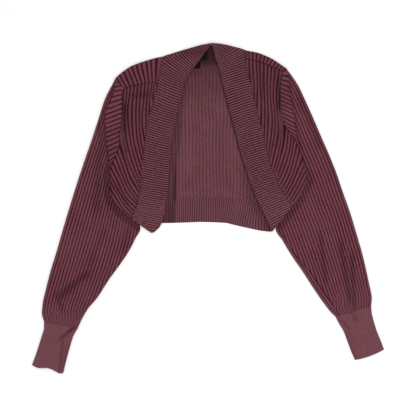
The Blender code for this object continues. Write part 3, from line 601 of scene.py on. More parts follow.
# Width of one rib along the sleeve: section, width.
PITCH_LEFT = [(0, 5.9), (3, 6.0), (5, 6.7), (7, 7.0), (9, 6.9), (11, 6.4), (12, 6.0), (13, 5.4)]
PITCH_RIGHT = [(0, 6.6), (3, 6.9), (6, 7.0), (9, 6.7), (11, 6.1), (12, 5.8), (13, 5.3)]
# Ribs of the cloth beside the armhole: rib, y at the armhole, y at the turned edge.
CAP_RIBS_LEFT = [
    (0, 276, 276), (1, 268, 266), (2, 259, 256), (6, 219, 204), (10, 178, 165), (14, 137, 124),
    (16, 113, 103), (18, 91, 88),
]
CAP_RIBS_RIGHT = [
    (0, 301, 304), (1, 291, 289), (4, 264, 254), (8, 227, 215), (12, 191, 176), (14.5, 166, 154),
    (17, 144, 138), (18, 133, 132),
]
print("a sleeve has", len(SLEEVE_LEFT), "sections, and its ribs narrow to", PITCH_LEFT[-1][1], "mm")

# %% Creases of the sleeves, and places where they stay dark
SLEEVE_CREASES = [
    (-262, -140, -330, -198, 13, -2.0), (-343, -190, -326, -242, 9, -1.6),
    (-246, 12, -262, -70, 12, -1.2), (-300, -60, -330, -170, 14, 1.2),
    (-236, -60, -262, -160, 12, 1.1), (-262, 110, -296, -10, 12, 0.9),
    (-250, -190, -300, -246, 8, -1.3), (-306, -190, -312, -250, 6, 1.0),
    (246, -70, 259, -136, 10, -1.6), (290, -70, 313, -213, 12, -2.2), (243, 60, 262, -10, 11, -1.2),
    (268, -75, 291, -223, 9, 1.8), (322, -110, 340, -210, 9, 1.1), (226, -100, 290, -215, 7, -1.2),
    (224, 170, 262, 70, 12, 0.9), (330, -170, 336, -225, 6, -1.1),
]
SLEEVE_SHADES = [
    (-238, 130, -244, -10, 16, 0.35), (-262, -140, -330, -198, 15, 0.5),
    (-336, -182, -318, -226, 10, 0.38), (-225, -40, -262, -130, 14, 0.2),
    (196, 255, 250, 130, 12, 0.3), (290, -70, 313, -213, 11, 0.42), (246, -50, 260, -172, 9, 0.38),
    (316, -96, 323, -268, 9, 0.42), (-241, 200, -231, 112, 9, 0.36),
    (-168, -14, -184, -92, 14, 0.28), (198, 268, 249, 156, 8, 0.28), (249, 156, 300, 24, 8, 0.28),
]
print(len(SLEEVE_CREASES), "creases and", len(SLEEVE_SHADES), "shades placed by hand")

# %% A flattened tube
def rounding(h, width, radius):
    """1 on the flat of a folded tube, falling to 0 at its two edges."""
    near = np.minimum(np.minimum(h, width - h), radius) / radius
    return np.sqrt(np.clip(1 - (1 - near) ** 2, 0, 1))


def tube(sections, rows, top_columns, under_columns, height_at):
    """Outside and inside of a flattened tube, then for each point how far across it lies, whether it
    is on top and how far along, and at last the smooth course of the sections."""
    steps = np.linspace(0, len(sections) - 1, rows)
    course = Course([(k, *section) for k, section in enumerate(sections)])(steps)
    ox, oy, ix, iy = (course[:, k][:, None] for k in range(4))
    width = np.hypot(ix - ox, iy - oy)
    over = close_at_ends(top_columns, 2.5)
    back = close_at_ends(under_columns, 2.5)[1:-1][::-1]
    share = np.concatenate([over, back])[None, :]
    on_top = (np.arange(share.shape[1]) < top_columns)[None, :]
    middle_x, middle_y = mix(ox, ix, 0.5)[:, 0], mix(oy, iy, 0.5)[:, 0]
    step_x, step_y = np.diff(middle_x, prepend=middle_x[0]), np.diff(middle_y, prepend=middle_y[0])
    run = np.cumsum(np.hypot(step_x, step_y))
    grids = []
    for wall in (0.0, CLOTH):
        h = wall + share * (width - 2 * wall)
        x, y = mix(ox, ix, h / width), mix(oy, iy, h / width)
        middle = height_at(x, y) / 2
        # The fold is a little longer than it is high, and more so on the inside.
        radius = middle - wall + (0.8 if wall else 0.2)
        bow = (middle - wall) * rounding(h - wall, width - 2 * wall, radius)
        grids.append((x, y, np.where(on_top, middle + bow, middle - bow)))
    return grids, share * np.ones_like(width), np.where(on_top, 1.0, 0.0), run[:, None], course


def sleeve_height(side):
    """The height of one sleeve as a function of x and y."""
    def height_at(x, y):
        clear = clear_of_body(x, y, side)
        height = mix(SLEEVE_UNDER_BODY, SLEEVE_FREE, smooth(clear / SLEEVE_RISE))
        soft = creased(x, y, SLEEVE_CREASES) + 0.35 * uneven(x / 24, y / 46, 4.0 + side)
        return np.maximum(height + soft * smooth((clear - 4) / 22), SLEEVE_UNDER_BODY)
    return height_at


print("a flat tube has", 2 * CLOTH, "mm of cloth in its height, and the rest is air")

# %% The cloth beside the armhole
def cap(table, armhole, fold, side):
    """The strip from the armhole to its turned edge, which ends inside the sleeve's upper layer."""
    ribs = np.linspace(table[0][0], table[-1][0], int(8 * (table[-1][0] - table[0][0])) + 1)
    seam_y, fold_y = np.moveaxis(Course(table)(ribs), -1, 0)
    seam = np.stack([Course(armhole)(seam_y) + side * SEAM_GAP, seam_y], -1)
    turn = np.stack([Course(fold)(fold_y), fold_y], -1)
    width = np.hypot(*(turn - seam).T)
    share = close_at_ends(22, 2)[:, None]
    inset = share * width
    to_turn = width - inset
    point = seam[None] + (turn - seam)[None] * share[..., None]
    lip = np.minimum(LIP + 0.6, 0.4 * width)
    at_seam = top_layer(seam[:, 0])
    at_turn = SLEEVE_UNDER_BODY + LAYER_GAP + CLOTH + 0.6
    in_sleeve = SLEEVE_UNDER_BODY - 0.7
    slope = mix(at_seam, at_turn, smooth(np.clip((inset - 2) / (width - 2 - lip), 0, 1)))
    top = slope - SEAM_DIP * (1 - smooth(inset / 3))
    relief = RIB * rib_profile(ribs)[None, :] * smooth(inset / 2.5) * smooth(to_turn / 2.5)
    lift = 0.6 * np.maximum(uneven(ribs / 3.0, share * 2, 6.0), 0)
    lift = lift * smooth(inset / 6) * smooth(to_turn / 5)
    upper = grid(point[..., 0], point[..., 1], over_edge(to_turn, lip, top, in_sleeve) + relief + lift)
    wall = np.minimum(CLOTH, 0.2 * width)
    pull = -side * wall * smooth(1 - to_turn / (lip + wall))
    below = over_edge(to_turn - wall * smooth(share), lip, top - CLOTH, in_sleeve)
    lower = grid(point[..., 0] + pull, point[..., 1], below)
    # Its lower ribs on the left, and its upper ones on the right, lie a little deeper in shade.
    shade = 0.13 * smooth((ribs - 9) * -side) + 0.27 * (1 - smooth(inset / 3))
    return upper, lower, ribs, inset, shade


def join(name, *pieces):
    """Make one mesh of several. Their values at the points come along."""
    with bpy.context.temp_override(active_object=pieces[0], selected_editable_objects=list(pieces)):
        bpy.ops.object.join()
    pieces[0].name = name
    pieces[0].data.name = name
    return pieces[0]


print("the cap's turned edge lies", SLEEVE_UNDER_BODY - 0.7, "mm up, in the sleeve")

# %% Left and right sleeve
NO_SEAM = 9.0                                  # a distance at which a seam no longer shows
UNDERARM_PITCH = 6.4                           # width of a rib beyond the underarm seam
UNDER_RIBS = 60                                # the underside's ribs count down from this number
BESIDE_BODY = {-1: (0.46, 10), 1: (0.34, 7)}   # painted shade beside the body: its darkness, and its width


def sleeve_ribs(x, y, share, run, course, pitch, side):
    """The rib at every point, and its distance to the underarm seam.

    Ribs follow the outer edge. On the right the underarm seam shows, and beyond it they follow the
    inner edge.
    """
    steps = np.linspace(0, pitch[-1][0], len(course))
    ribs = distance_to(x, y, course[::3, :2]) / Course(pitch)(steps)[:, None]
    ribs = ribs + 0.06 * uneven(share * 9, run / 70, 2.0 + side)
    if side < 0:
        return ribs, np.full_like(x, NO_SEAM)
    from_edge = distance_to(x, y, course[::3, 2:])
    seam = from_edge - Course(UNDERARM)(steps)[:, None]
    return np.where(seam < 0, from_edge / UNDERARM_PITCH, ribs), seam


def sleeve(name, sections, pitch, side, cap_table, armhole, fold):
    """One sleeve: the tube, and joined to it the cap beside the armhole."""
    (outside, inside), share, on_top, run, course = tube(sections, 220, 200, 40, sleeve_height(side))
    x, y, z = outside
    ribs, seam = sleeve_ribs(x, y, share, run, course, pitch, side)
    clear, from_cuff = clear_of_body(x, y, side), run[-1] - run
    ends = smooth(from_cuff / 5)
    edge = smooth(rounding(share, 1.0, 0.02))
    lift = RIB * rib_profile(ribs) * smooth(clear / 7) * mix(0.25, 1, ends) * on_top * edge
    # Grooves open along the outer edge. Towards the cuff they narrow, which lightens the ribs: painted light.
    pulled_and_painted_light = 0.35 * uneven(x / 40, y / 60, 7.0 + side) + 0.3 * (1 - smooth(share / 0.12))
    pulled_and_painted_light = pulled_and_painted_light - 1.3 * smooth(1 - from_cuff / 60)
    darkness, reach = BESIDE_BODY[side]
    # Painted shade: the placed shades, the body's shade beside it, and a little at the cuff's seam.
    dark = np.maximum(shaded(x, y, SLEEVE_SHADES), darkness * (1 - smooth(clear / reach)))
    dark = np.maximum(dark, 0.12 * (1 - ends))
    dark = np.maximum(dark, 0.6 * (1 - smooth(np.abs(seam) / 1.8)))
    body = cloth(name + "_tube", grid(x, y, z + lift), grid(*inside), loop=True, skip=6, run=run,
                 rib=np.where(on_top > 0, ribs, UNDER_RIBS - ribs), open=pulled_and_painted_light, shade=dark)
    upper, lower, cap_ribs, inset, shade = cap(cap_table, armhole, fold, side)
    strip = cloth(name + "_cap", upper, lower, skip=8, rib=cap_ribs[None, :], run=inset, shade=shade)
    PIECES[name] = join(name, body, strip)


sleeve("knit_sleeve_left", SLEEVE_LEFT, PITCH_LEFT, -1, CAP_RIBS_LEFT, ARMHOLE_LEFT, CAP_FOLD_LEFT)
sleeve("knit_sleeve_right", SLEEVE_RIGHT, PITCH_RIGHT, 1, CAP_RIBS_RIGHT, ARMHOLE_RIGHT, CAP_FOLD_RIGHT)

# %% [markdown]
# ## The cuffs
# The cuffs are knitted in such narrow ribs that they look smooth, and they draw the full sleeve in.
# They could be extruded from the sleeve's last section. Here they are tubes made the same way as the
# sleeves, from sections of their own, and their open ends wave up and down in the laid plane.

# %% The cuffs' sections: x and y on the outer edge, x and y on the inner edge
CUFF_LEFT = [
    (-360, -250.2, -286, -264.2), (-360.5, -264, -296, -282), (-366, -284, -303, -304),
    (-373, -306, -309, -326), (-380, -327, -314, -345), (-387, -345, -318, -363),
]
CUFF_RIGHT = [
    (358.6, -216.2, 280.4, -239.2), (360, -231, 288, -254), (365, -251, 298, -271),
    (372, -273, 306.5, -293), (379, -290, 314.6, -314.6), (387, -311, 323, -334),
]
# Creases: one end, the other end, half width, height. Shades: the same, with their darkness.
CUFF_CREASES = {
    -1: [(-284, -256, -330, -292, 8, -1.4), (-317, -284, -328, -362, 5, -0.9)],
    1: [(292, -240, 312, -264, 7, -0.9)],
}
CUFF_SHADES = {
    -1: [(-278, -250, -328, -290, 7, 0.45), (-266, -238, -312, -276, 3.5, 0.8),
         (-317, -280, -329, -372, 5, 0.3), (-304, -300, -318, -360, 14, 0.2)],
    1: [(288, -243, 312, -266, 6, 0.25), (310, -222, 328, -250, 9, 0.3),
        (306, -262, 324, -336, 12, 0.14)],
}
print("the cuffs end", -CUFF_LEFT[-1][0], "and", CUFF_RIGHT[-1][0], "mm from the middle line")

# %% Left and right cuff
CUFF_HEIGHT = 5.6
CUFF_RIBS = 34          # ribs on the upper side
CUFF_RIB = 0.22         # their height
WAVED = 22              # the open end waves over this length


def cuff(name, sections, side, wave_height, waves):
    """wave_height is how far the cuff's free end strays, and waves how many times across the cuff."""
    def height_at(x, y):
        return CUFF_HEIGHT + creased(x, y, CUFF_CREASES[side]) + 0.2 * uneven(x / 16, y / 16, 9.0)

    (outside, inside), share, on_top, run, _ = tube(sections, 60, 4 * CUFF_RIBS + 1, 40, height_at)
    x, y, z = outside
    at_end = smooth((run - run[-1] + WAVED) / WAVED) ** 2 * smooth(np.minimum(share, 1 - share) / 0.12)
    wave = wave_height * np.sin(2 * math.pi * waves * share) * at_end
    ribs = share * CUFF_RIBS
    lift = CUFF_RIB * rib_profile(ribs) * on_top * smooth(rounding(share, 1.0, 0.04))
    inner_x, inner_y, inner_z = inside
    PIECES[name] = cloth(name, grid(x, y - wave, z + lift), grid(inner_x, inner_y - wave, inner_z),
                         loop=True, skip=6, rib=np.where(on_top > 0, ribs, 80 - ribs), run=run,
                         shade=shaded(x, y, CUFF_SHADES[side]))


cuff("knit_cuff_left", CUFF_LEFT, -1, 2.6, 1.35)
cuff("knit_cuff_right", CUFF_RIGHT, 1, 3.0, 0.5)

# %% [markdown]
# ## The back, with its inside in view
# The back lies face down, so the opening shows the inside of the knit, where the ribs are faint. At
# both shoulders its cloth rounds the edge and comes forward to the seam with the front, as a strip
# of bold ribs. It could be two meshes joined at the shoulder. One grid keeps each rib whole: it has a
# column for each eighth of a rib and three stretches of rows, for the inside, the turn, and the strip,
# which exists only left and right of the neck.

# %% The back's outline: the shoulder strips, the neckline and the hem's seam
# The back's ribs are numbered from left to right, and the neck takes the middle ones.
BACK_RIBS, NECK_FROM, NECK_TO = 46, 13, 33
# Shoulder strips: rib, x and y on the edge, x and y at the seam. The right one counts from the neck.
YOKE_LEFT = [
    (0, -206, 280.5, -203.5, 277), (1.5, -200, 288, -185.5, 262.5), (3, -191, 296, -176, 266),
    (4, -182.5, 302.5, -169, 268), (6, -169, 311, -154, 272), (8, -152, 318, -141, 274),
    (10, -134, 324, -127.5, 275.5), (12, -115.5, 329.5, -116.5, 277), (13, -100, 333, -110.5, 277),
]
YOKE_RIGHT = [
    (0, 79, 348, 81.5, 329), (2, 90, 345, 91, 328), (4, 108, 341.5, 105.5, 325),
    (6, 124, 335.5, 120, 320), (8, 140, 328, 133, 314.5), (10, 154, 319, 147.5, 308),
    (12, 167, 310, 159.5, 302), (13, 174, 305, 164, 300.5),
]
# x, and y there.
NECKLINE = [
    (-98, 327), (-79, 328), (-53, 324), (-32, 318), (-13, 308), (6, 303), (21, 309), (40, 325),
    (62, 338), (79, 342),
]
HEM_SEAM = [(-205, 18), (-70, 23), (37, 23), (70, 19), (119, 11), (170, 9), (196, 13)]
# The back's sides: y at the left, x there, y at the right, x there.
BACK_ROWS = [
    (18, -203, 18, 189), (75, -211, 75, 211), (122, -196, 118, 200), (170, -189, 170, 172),
    (215, -184, 215, 156), (258, -186, 275, 152), (279, -203.5, 303, 172),
]
print("the neck takes ribs", NECK_FROM, "to", NECK_TO, "of", BACK_RIBS)

# %% Creases of the back, and where it is raised into the light
BACK_CREASES = [
    (-76, 132, -71, -30, 5, 1.3), (70, 20, 57, -14, 9, 1.0),
    (-20, 270, -28, 60, 16, 0.7), (36, 210, 52, 40, 14, 0.6),
]
# The tuck at the left of the opening: y, and x of its edge.
TUCK = [(-40, -69), (45, -69), (85, -67.5), (105, -64.5), (125, -60), (141, -57), (200, -55)]
# One end, the other end, half width, how much lighter.
BACK_LIGHTS = [
    (-40, 196, -40, 60, 15, 0.09), (-58, 110, -61, -30, 9, 0.11), (60, 76, 66, -30, 11, 0.13),
]
print("the tuck runs from y", TUCK[0][0], "to", TUCK[-1][0])

# %% How dark the inside of the back lies
BAND_EDGES = [[(x, y) for _, _, _, x, y in table] for table in (BAND_LEFT, BAND_RIGHT)]


def tuck_shade(x, y):
    """Dark on the left of the tuck and darkest just beside it. It fades out towards the neck, and is
    weaker on the hem."""
    fold = np.interp(y, *np.array(TUCK).T)
    soft = mix(2.5, 6, smooth((y - 60) / 60)) + 3 * smooth((16 - y) / 10)
    tuck = (1 - smooth((x - fold + soft) / soft)) * smooth((225 - y) / 40)
    near_fold = smooth((x - fold + 9) / 4) * smooth((110 - y) / 50) * smooth((y - 12) / 8)
    return tuck * (0.32 + 0.34 * near_fold + 0.1 * smooth((16 - y) / 10))


def back_shade(x, y):
    """The inside of the back lies in the shade of the bands, most of all where they meet."""
    left_edge, right_edge = (distance_to(x, y, edge) for edge in BAND_EDGES)
    apex = 0.24 * smooth((y - 215) / 60) + 0.12 * smooth((y - 284) / 18) + 0.36 * smooth((y - 306) / 18)
    beside = np.maximum(0.38 * (1 - smooth(left_edge / 18)), 0.75 * (1 - smooth(right_edge / 6)))
    beside = np.maximum(beside, 0.34 * (1 - smooth(right_edge / 30)) * smooth((110 - y) / 60))
    dark = np.maximum(np.maximum(apex, tuck_shade(x, y)), beside)
    return np.clip(0.08 + dark - shaded(x, y, BACK_LIGHTS), 0, 1)


at_neck = back_shade(np.array([0.0]), np.array([300.0]))[0]
print("behind the neck the back is shaded by", round(float(at_neck), 2))

# %% Where each rib of the back runs
def back_lines(numbers):
    """For each rib its foot on the hem, its head, the edge over which it turns, and the end of the
    strip beyond that. Behind the neck there is no strip, and the last three lie together."""
    left, right = numbers <= NECK_FROM, numbers >= NECK_TO
    yoke = np.where(left[:, None], Course(YOKE_LEFT)(numbers), Course(YOKE_RIGHT)(numbers - NECK_TO))
    neck_x = mix(NECKLINE[0][0], NECKLINE[-1][0], (numbers - NECK_FROM) / (NECK_TO - NECK_FROM))
    neck = np.stack([neck_x, Course(NECKLINE)(neck_x)], -1)
    shoulder = (left | right)[:, None]
    edge = np.where(shoulder, yoke[:, :2], neck)
    seam = np.where(shoulder, yoke[:, 2:], neck)
    foot_x = mix(BACK_ROWS[0][1], BACK_ROWS[0][3], numbers / BACK_RIBS)
    foot = np.stack([foot_x, Course(HEM_SEAM)(foot_x)], -1)
    reach = np.hypot(*(edge - foot).T)[:, None]
    head = np.where(shoulder, edge + (foot - edge) * (LIP + 0.4) / reach, edge)
    # The seam's gap: above it along the shoulder, and beside it where the strip meets the armhole.
    sewn = seam + (0, 0.15)
    beyond_left = left & (seam[:, 0] < ARMHOLE_LEFT[1][1])
    beyond_right = right & (seam[:, 0] > ARMHOLE_RIGHT[1][1])
    sewn = np.where(beyond_left[:, None], seam + SEAM_GAP + 0.15, sewn)
    sewn = np.where(beyond_right[:, None], seam + (0, SEAM_GAP + 0.1), sewn)
    return foot, head, edge, sewn


def side_shift(numbers, rise):
    """How far ribs leave the straight line from foot to head to follow the back's side edges."""
    first, last = BACK_ROWS[0], BACK_ROWS[-1]
    near_left = 1 - numbers / NECK_FROM
    near_right = 1 - (BACK_RIBS - numbers) / (BACK_RIBS - NECK_TO)
    shift = 0
    for column, near in ((0, near_left), (2, near_right)):
        heights = [(row[column] - first[column]) / (last[column] - first[column]) for row in BACK_ROWS]
        rows = [(at, row[column + 1] - mix(first[column + 1], last[column + 1], at))
                for at, row in zip(heights, BACK_ROWS)]
        shift = shift + np.clip(near, 0, None) * Course(rows)(rise)
    return shift


print("the middle rib stands on x", round(float(back_lines(np.array([23.0]))[0][0, 0]), 1))

# %% The three stretches of the back, each as points below, points above and the run along the rib
BACK_MAIN, BACK_TURN, BACK_STRIP = 70, 5, 16
FAINT_RIBS = 1.152                 # faint ribs for each numbered one
LEFT_RIBS, RIGHT_RIBS = 0.82, 0.945   # and bold ones on the two shoulder strips


def rib_wander(x, y):
    """How far a faint rib strays at x, y, in ribs."""
    return 0.17 * uneven(x / 22, y / 38, 3.0)


def inside_rows(numbers, foot, head):
    """The inside of the back, which lies flat. Its faint ribs show in the opening."""
    rise = np.linspace(0, 1, BACK_MAIN)[:, None]
    x = mix(foot[:, 0], head[:, 0], rise) + side_shift(numbers, rise)
    y = mix(foot[:, 1], head[:, 1], rise)
    z = back_floor(x)
    shown = smooth((numbers - NECK_FROM + 3) / 2) * smooth((NECK_TO + 3 - numbers) / 2)
    soft = np.maximum(creased(x, y, BACK_CREASES) + 0.15 * (1 + uneven(x / 30, y / 50, 8.0)), 0)
    relief = INSIDE_RIB * rib_profile(numbers * FAINT_RIBS + rib_wander(x, y)) * shown
    return grid(x, y, z), grid(x, y, z + CLOTH + relief + soft * smooth((76 - np.abs(x)) / 12)), y - 20


def turn_rows(head, edge):
    """The turn over the shoulder's edge."""
    base, top = back_floor(edge[:, 0]), top_layer(edge[:, 0])
    for turn in np.linspace(0.5, 0, BACK_TURN)[1:-1]:
        x, y = mix(head, edge, 1 - turn).T
        bend = np.sqrt(1 - (1 - turn) ** 2)
        yield (grid(x, y, mix(base + (top - base) / 2, base, bend)),
               grid(x, y, mix(base + CLOTH + 0.5, base + CLOTH, bend)), y - 20)


def strip_rows(edge, sewn, crest):
    """The strip from the shoulder's edge to the seam with the front. crest is its ribs' profile."""
    away = np.hypot(*(edge - sewn).T) + 1e-6
    lip = np.minimum(LIP + 0.4, 0.4 * away)
    base, top_at_edge = back_floor(edge[:, 0]), top_layer(edge[:, 0])
    wall = np.minimum(CLOTH, 0.2 * away)
    for share in np.concatenate([np.linspace(0, 0.15, 5), np.linspace(0.15, 1, BACK_STRIP)[1:]]):
        inset = share * away
        beside = away - inset
        x, y = (edge + (sewn - edge) * share).T
        top = top_layer(x) + 0.2 * (1 + uneven(x / 20, y / 14, 5.0))
        top = top - SEAM_DIP * (1 - smooth(beside / 2.5))
        relief = RIB * crest * smooth(beside / 2.5) * smooth(inset / 2)
        inner_share = (wall + inset * (1 - wall / away)) / away
        inner_x, inner_y = (edge + (sewn - edge) * inner_share[:, None]).T
        yield (grid(x, y, over_edge(inset, lip, top, (base + top_at_edge) / 2) + relief),
               grid(inner_x, inner_y, over_edge(inset, lip, top - CLOTH, base + CLOTH + 0.48)),
               edge[:, 1] - 20 + inset)


print("the back's grid has", BACK_MAIN, "rows inside and", BACK_STRIP + 4, "on the strips")

# %% The back
def back(name):
    """The back as one grid, in three stretches of rows."""
    numbers = np.linspace(0, BACK_RIBS, 8 * BACK_RIBS + 1)
    foot, head, edge, sewn = back_lines(numbers)
    bold = numbers * np.where(numbers <= NECK_FROM, LEFT_RIBS, RIGHT_RIBS)
    stretches = [inside_rows(numbers, foot, head), *turn_rows(head, edge),
                 *strip_rows(edge, sewn, rib_profile(bold))]
    below, above, run = zip(*stretches)
    below, above = (np.vstack([rows.reshape(-1, len(numbers), 3) for rows in part])
                    for part in (below, above))
    run = np.vstack(run)
    main = np.arange(len(run))[:, None] < BACK_MAIN
    x, y = below[..., 0], below[..., 1]
    seams = [[row[1:3] for row in rows] for rows in (BAND_LEFT[4:9], BAND_RIGHT[4:7])]
    near_band = np.minimum(*(distance_to(x, y, seam) for seam in seams))
    # Painted shade on the shoulder strips, deeper beside the band's seam.
    on_shoulder = 0.13 + 0.3 * (1 - smooth(near_band / 5))

    def present(row, column):
        return row < BACK_MAIN - 1 or column < 8 * NECK_FROM or column >= 8 * NECK_TO

    # The side of the cloth that lies below inside the back is the upper one on the strips.
    PIECES[name] = cloth(name, below, above, skip=1, present=present, run=run, open=0.5,
                         rib=np.where(main, numbers * FAINT_RIBS + rib_wander(x, y), bold),
                         inside=np.where(main, 1.0, 0.0), shade=np.where(main, back_shade(x, y), on_shoulder))


back("knit_back_panel")

# %% [markdown]
# ## The hem band and the neck band
# The same narrow rib closes the back at the hem, where its inside faces up in the opening, and
# behind the neck, where it stands under the meeting point of the two halves. Both could be cut from
# one flat strip. As strips between two measured edges, they meet the back and the fronts exactly.

# %% The hem's lower edge (x, and y there), and where its ribs begin and end
HEM_EDGE = [
    (-197, 10), (-185, 0), (-172, -11), (-160, -20), (-148, -29), (-135, -36), (-115, -38),
    (-101, -33), (-84, -33), (-40, -31.5), (-18, -30.5), (4, -31), (26, -32), (42, -33), (53, -36),
    (70, -40), (92, -45), (114, -49.5), (134, -52), (138, -51.5), (141, -44), (148, -34),
    (159, -21), (168, -10), (176, 0),
]
HEM_RIBS_FROM, HEM_RIBS_TO, HEM_RIBS = -112.0, 134.0, 50
# Columns left and right of the ribs, under bands and fronts, where the hem is plain.
PLAIN_LEFT = [-197, -185, -172, -160, -148, -135, -124]
PLAIN_RIGHT = [136, 138, 141, 148, 159, 168, 176]
print("a rib of the hem is", round((HEM_RIBS_TO - HEM_RIBS_FROM) / HEM_RIBS, 2), "mm wide")

# %% Hem band and neck band
HEM_RIB, NECK_RIB = 0.45, 0.4            # heights of their ribs
NECK_BAND_FROM, NECK_BAND_TO = -84, 64   # the stretch of the neck band that shows
NECK_PITCH = 4.9                         # width of its ribs


def hem(name):
    """The hem band, from its seam with the back to its lower edge."""
    ribs = np.linspace(0, HEM_RIBS, 8 * HEM_RIBS + 1)
    x = np.concatenate([PLAIN_LEFT, mix(HEM_RIBS_FROM, HEM_RIBS_TO, ribs / HEM_RIBS), PLAIN_RIGHT])
    ribs = np.concatenate([np.zeros(len(PLAIN_LEFT)), ribs, np.zeros(len(PLAIN_RIGHT))])
    share = close_at_ends(24, 2)[:, None]
    # The ribs lean on the right of the opening and sway a little in its middle.
    lean = -10 * smooth((x - 5) / 50) * (1 - smooth((x - 95) / 35))
    lean = lean + 2 * np.sin(x / 21) * (1 - smooth((np.abs(x) - 70) / 30))
    head, foot = Course(HEM_SEAM)(x) + 0.2, np.interp(x + lean, *np.array(HEM_EDGE).T)
    length = head - foot
    x, y = x + lean * share, mix(head, foot, share)
    near = np.minimum(share * length, length - share * length)
    below = back_floor(x)
    soft = np.maximum(creased(x, y, BACK_CREASES), 0) * smooth((76 - np.abs(x)) / 12)
    relief = HEM_RIB * rib_profile(ribs) * smooth(near / 1.8) * smooth((100 - np.abs(x)) / 12 + 0.6)
    z = below + CLOTH - 0.25 * (1 - smooth(near / 2)) + relief + soft
    PIECES[name] = cloth(name, grid(x, y, z), grid(x, y, below), skip=8,
                         rib=ribs[None, :], run=share * length, shade=back_shade(x, y))


def neck(name):
    """The band behind the neck, from the back's neckline almost to the outer seam of the halves."""
    outer_seam = [(row[1], row[2]) for row in BAND_LEFT[:6] + BAND_RIGHT[:5]]
    x = np.linspace(NECK_BAND_FROM, NECK_BAND_TO, 241)
    low = Course(NECKLINE)(x) - 0.2
    high = np.maximum(Course(outer_seam)(x) - LIP - 1.6, low + 1.0)
    share = close_at_ends(14, 2)[:, None]
    y = mix(low, high, share)
    near = np.minimum(share, 1 - share) * (high - low)
    ribs = (x - NECK_BAND_FROM) / NECK_PITCH
    z = CLOTH - 0.2 + NECK_RIB * rib_profile(ribs)[None, :] * smooth(near / 2)
    PIECES[name] = cloth(name, grid(x, y, z), grid(x, y, 0.0), skip=8, rib=ribs[None, :], run=y - low,
                         inside=1.0, shade=back_shade(x + 0 * y, y))


hem("knit_hem_band")
neck("knit_neck_band")

# %% [markdown]
# ## Two bare labels
# Behind the neck sit two small pieces of black woven tape. They are bare. Each could be a flat box.
# As a thin sheet that bows a little between its stitched ends, it catches the light like tape.

# %% The labels
YARN = 0.8   # width of one yarn of the tape


def label(name, x1, x2, y1, y2, rests_at):
    """A small rectangle of tape that bows up a little between its stitched ends."""
    u, v = np.linspace(0, 1, 25)[None, :], np.linspace(0, 1, 17)[:, None]
    x, y = mix(x1, x2, u), mix(y1, y2, v)
    bow = 0.5 * np.sin(math.pi * v) * (0.6 + 0.4 * np.sin(5 * u))
    below = rests_at + 0.3 + bow
    PIECES[name] = cloth(name, grid(x, y, below + 0.45), grid(x, y, below), skip=4,
                         rib=u * (x2 - x1) / YARN, run=v * (y2 - y1) / YARN)


label("tape_neck_label", -28, -2, 325, 348, CLOTH + 0.3)
label("tape_size_tab", -34, -17, 307, 323.5, CLOTH + INSIDE_RIB)

# %% [markdown]
# ## Materials
# Broad and narrow rib are both plated knit: a mauve-brown yarn on the face of each rib and a wine
# yarn that shows in the grooves. A picture of knitting could be laid on the cloth, but it would not
# follow the ribs. The materials read the rib number and the distance along the rib from the mesh
# instead, so each stitch sits on its rib wherever the rib bends. The maths is written as ordinary
# expressions: a wire is a socket that can be added, multiplied and set between two limits.

# %% Shader maths as expressions
class Wire:
    """An output socket. Arithmetic on it adds Math nodes to its recipe."""

    def __init__(self, recipe, socket):
        self.recipe, self.socket = recipe, socket

    def maths(self, operation, *values):
        return self.recipe.node("ShaderNodeMath", {"operation": operation}, dict(enumerate(values)))

    def __add__(self, other):
        return self.maths("ADD", self, other)

    def __sub__(self, other):
        return self.maths("SUBTRACT", self, other)

    def __rsub__(self, other):
        return self.maths("SUBTRACT", other, self)

    def __mul__(self, other):
        return self.maths("MULTIPLY", self, other)

    def __truediv__(self, other):
        return self.maths("DIVIDE", self, other)

    __radd__, __rmul__ = __add__, __mul__

    def wrap(self):
        return self.maths("FRACT", self)

    def sine(self):
        return self.maths("SINE", self)

    def size(self):
        return self.maths("ABSOLUTE", self)

    def between(self, low, high):
        """0 below low, 1 above high, and smooth from one to the other."""
        return self.recipe.node(
            "ShaderNodeMapRange", {"interpolation_type": "SMOOTHSTEP"}, {0: self, 1: low, 2: high})


print("a wire understands", ", ".join(name for name in vars(Wire) if not name.startswith("_")))

# %% A material in the making
class Recipe:
    """A material in the making, with one method that adds any node."""

    def __init__(self, name):
        self.material = bpy.data.materials.new(name)
        self.material.use_nodes = True
        self.tree = self.material.node_tree
        self.tree.nodes.clear()

    def node(self, kind, settings=None, sockets=None, output=0):
        made = self.tree.nodes.new(kind)
        for key, value in (settings or {}).items():
            setattr(made, key, value)
        for key, value in (sockets or {}).items():
            if isinstance(value, Wire):
                self.tree.links.new(value.socket, made.inputs[key])
            else:
                made.inputs[key].default_value = value
        return Wire(self, made.outputs[output]) if made.outputs else made

    def value_of(self, name):
        """What the mesh keeps at its points under that name."""
        return self.node("ShaderNodeAttribute", {"attribute_name": name}, output="Fac")

    def blend(self, share, a, b):
        return self.node("ShaderNodeMix", {"data_type": "RGBA"}, {0: share, 6: a, 7: b}, output=2)

    def noise(self, scale, detail, place):
        return self.node("ShaderNodeTexNoise", None, {"Vector": place, "Scale": scale, "Detail": detail})

    def finish(self, colour, roughness, height, relief, sheen):
        bump = self.node("ShaderNodeBump", None, {"Strength": 1.0, "Distance": relief, "Height": height})
        shader = self.node("ShaderNodeBsdfPrincipled", None, {
            "Base Color": colour, "Roughness": roughness, "Normal": bump,
            "Sheen Weight": sheen, "Sheen Roughness": 0.5, "Sheen Tint": (0.8, 0.5, 0.55, 1.0),
            "Specular IOR Level": 0.05})
        self.node("ShaderNodeOutputMaterial", None, {"Surface": shader})
        return self.material


print("a recipe ends in one principled shader with a bump")

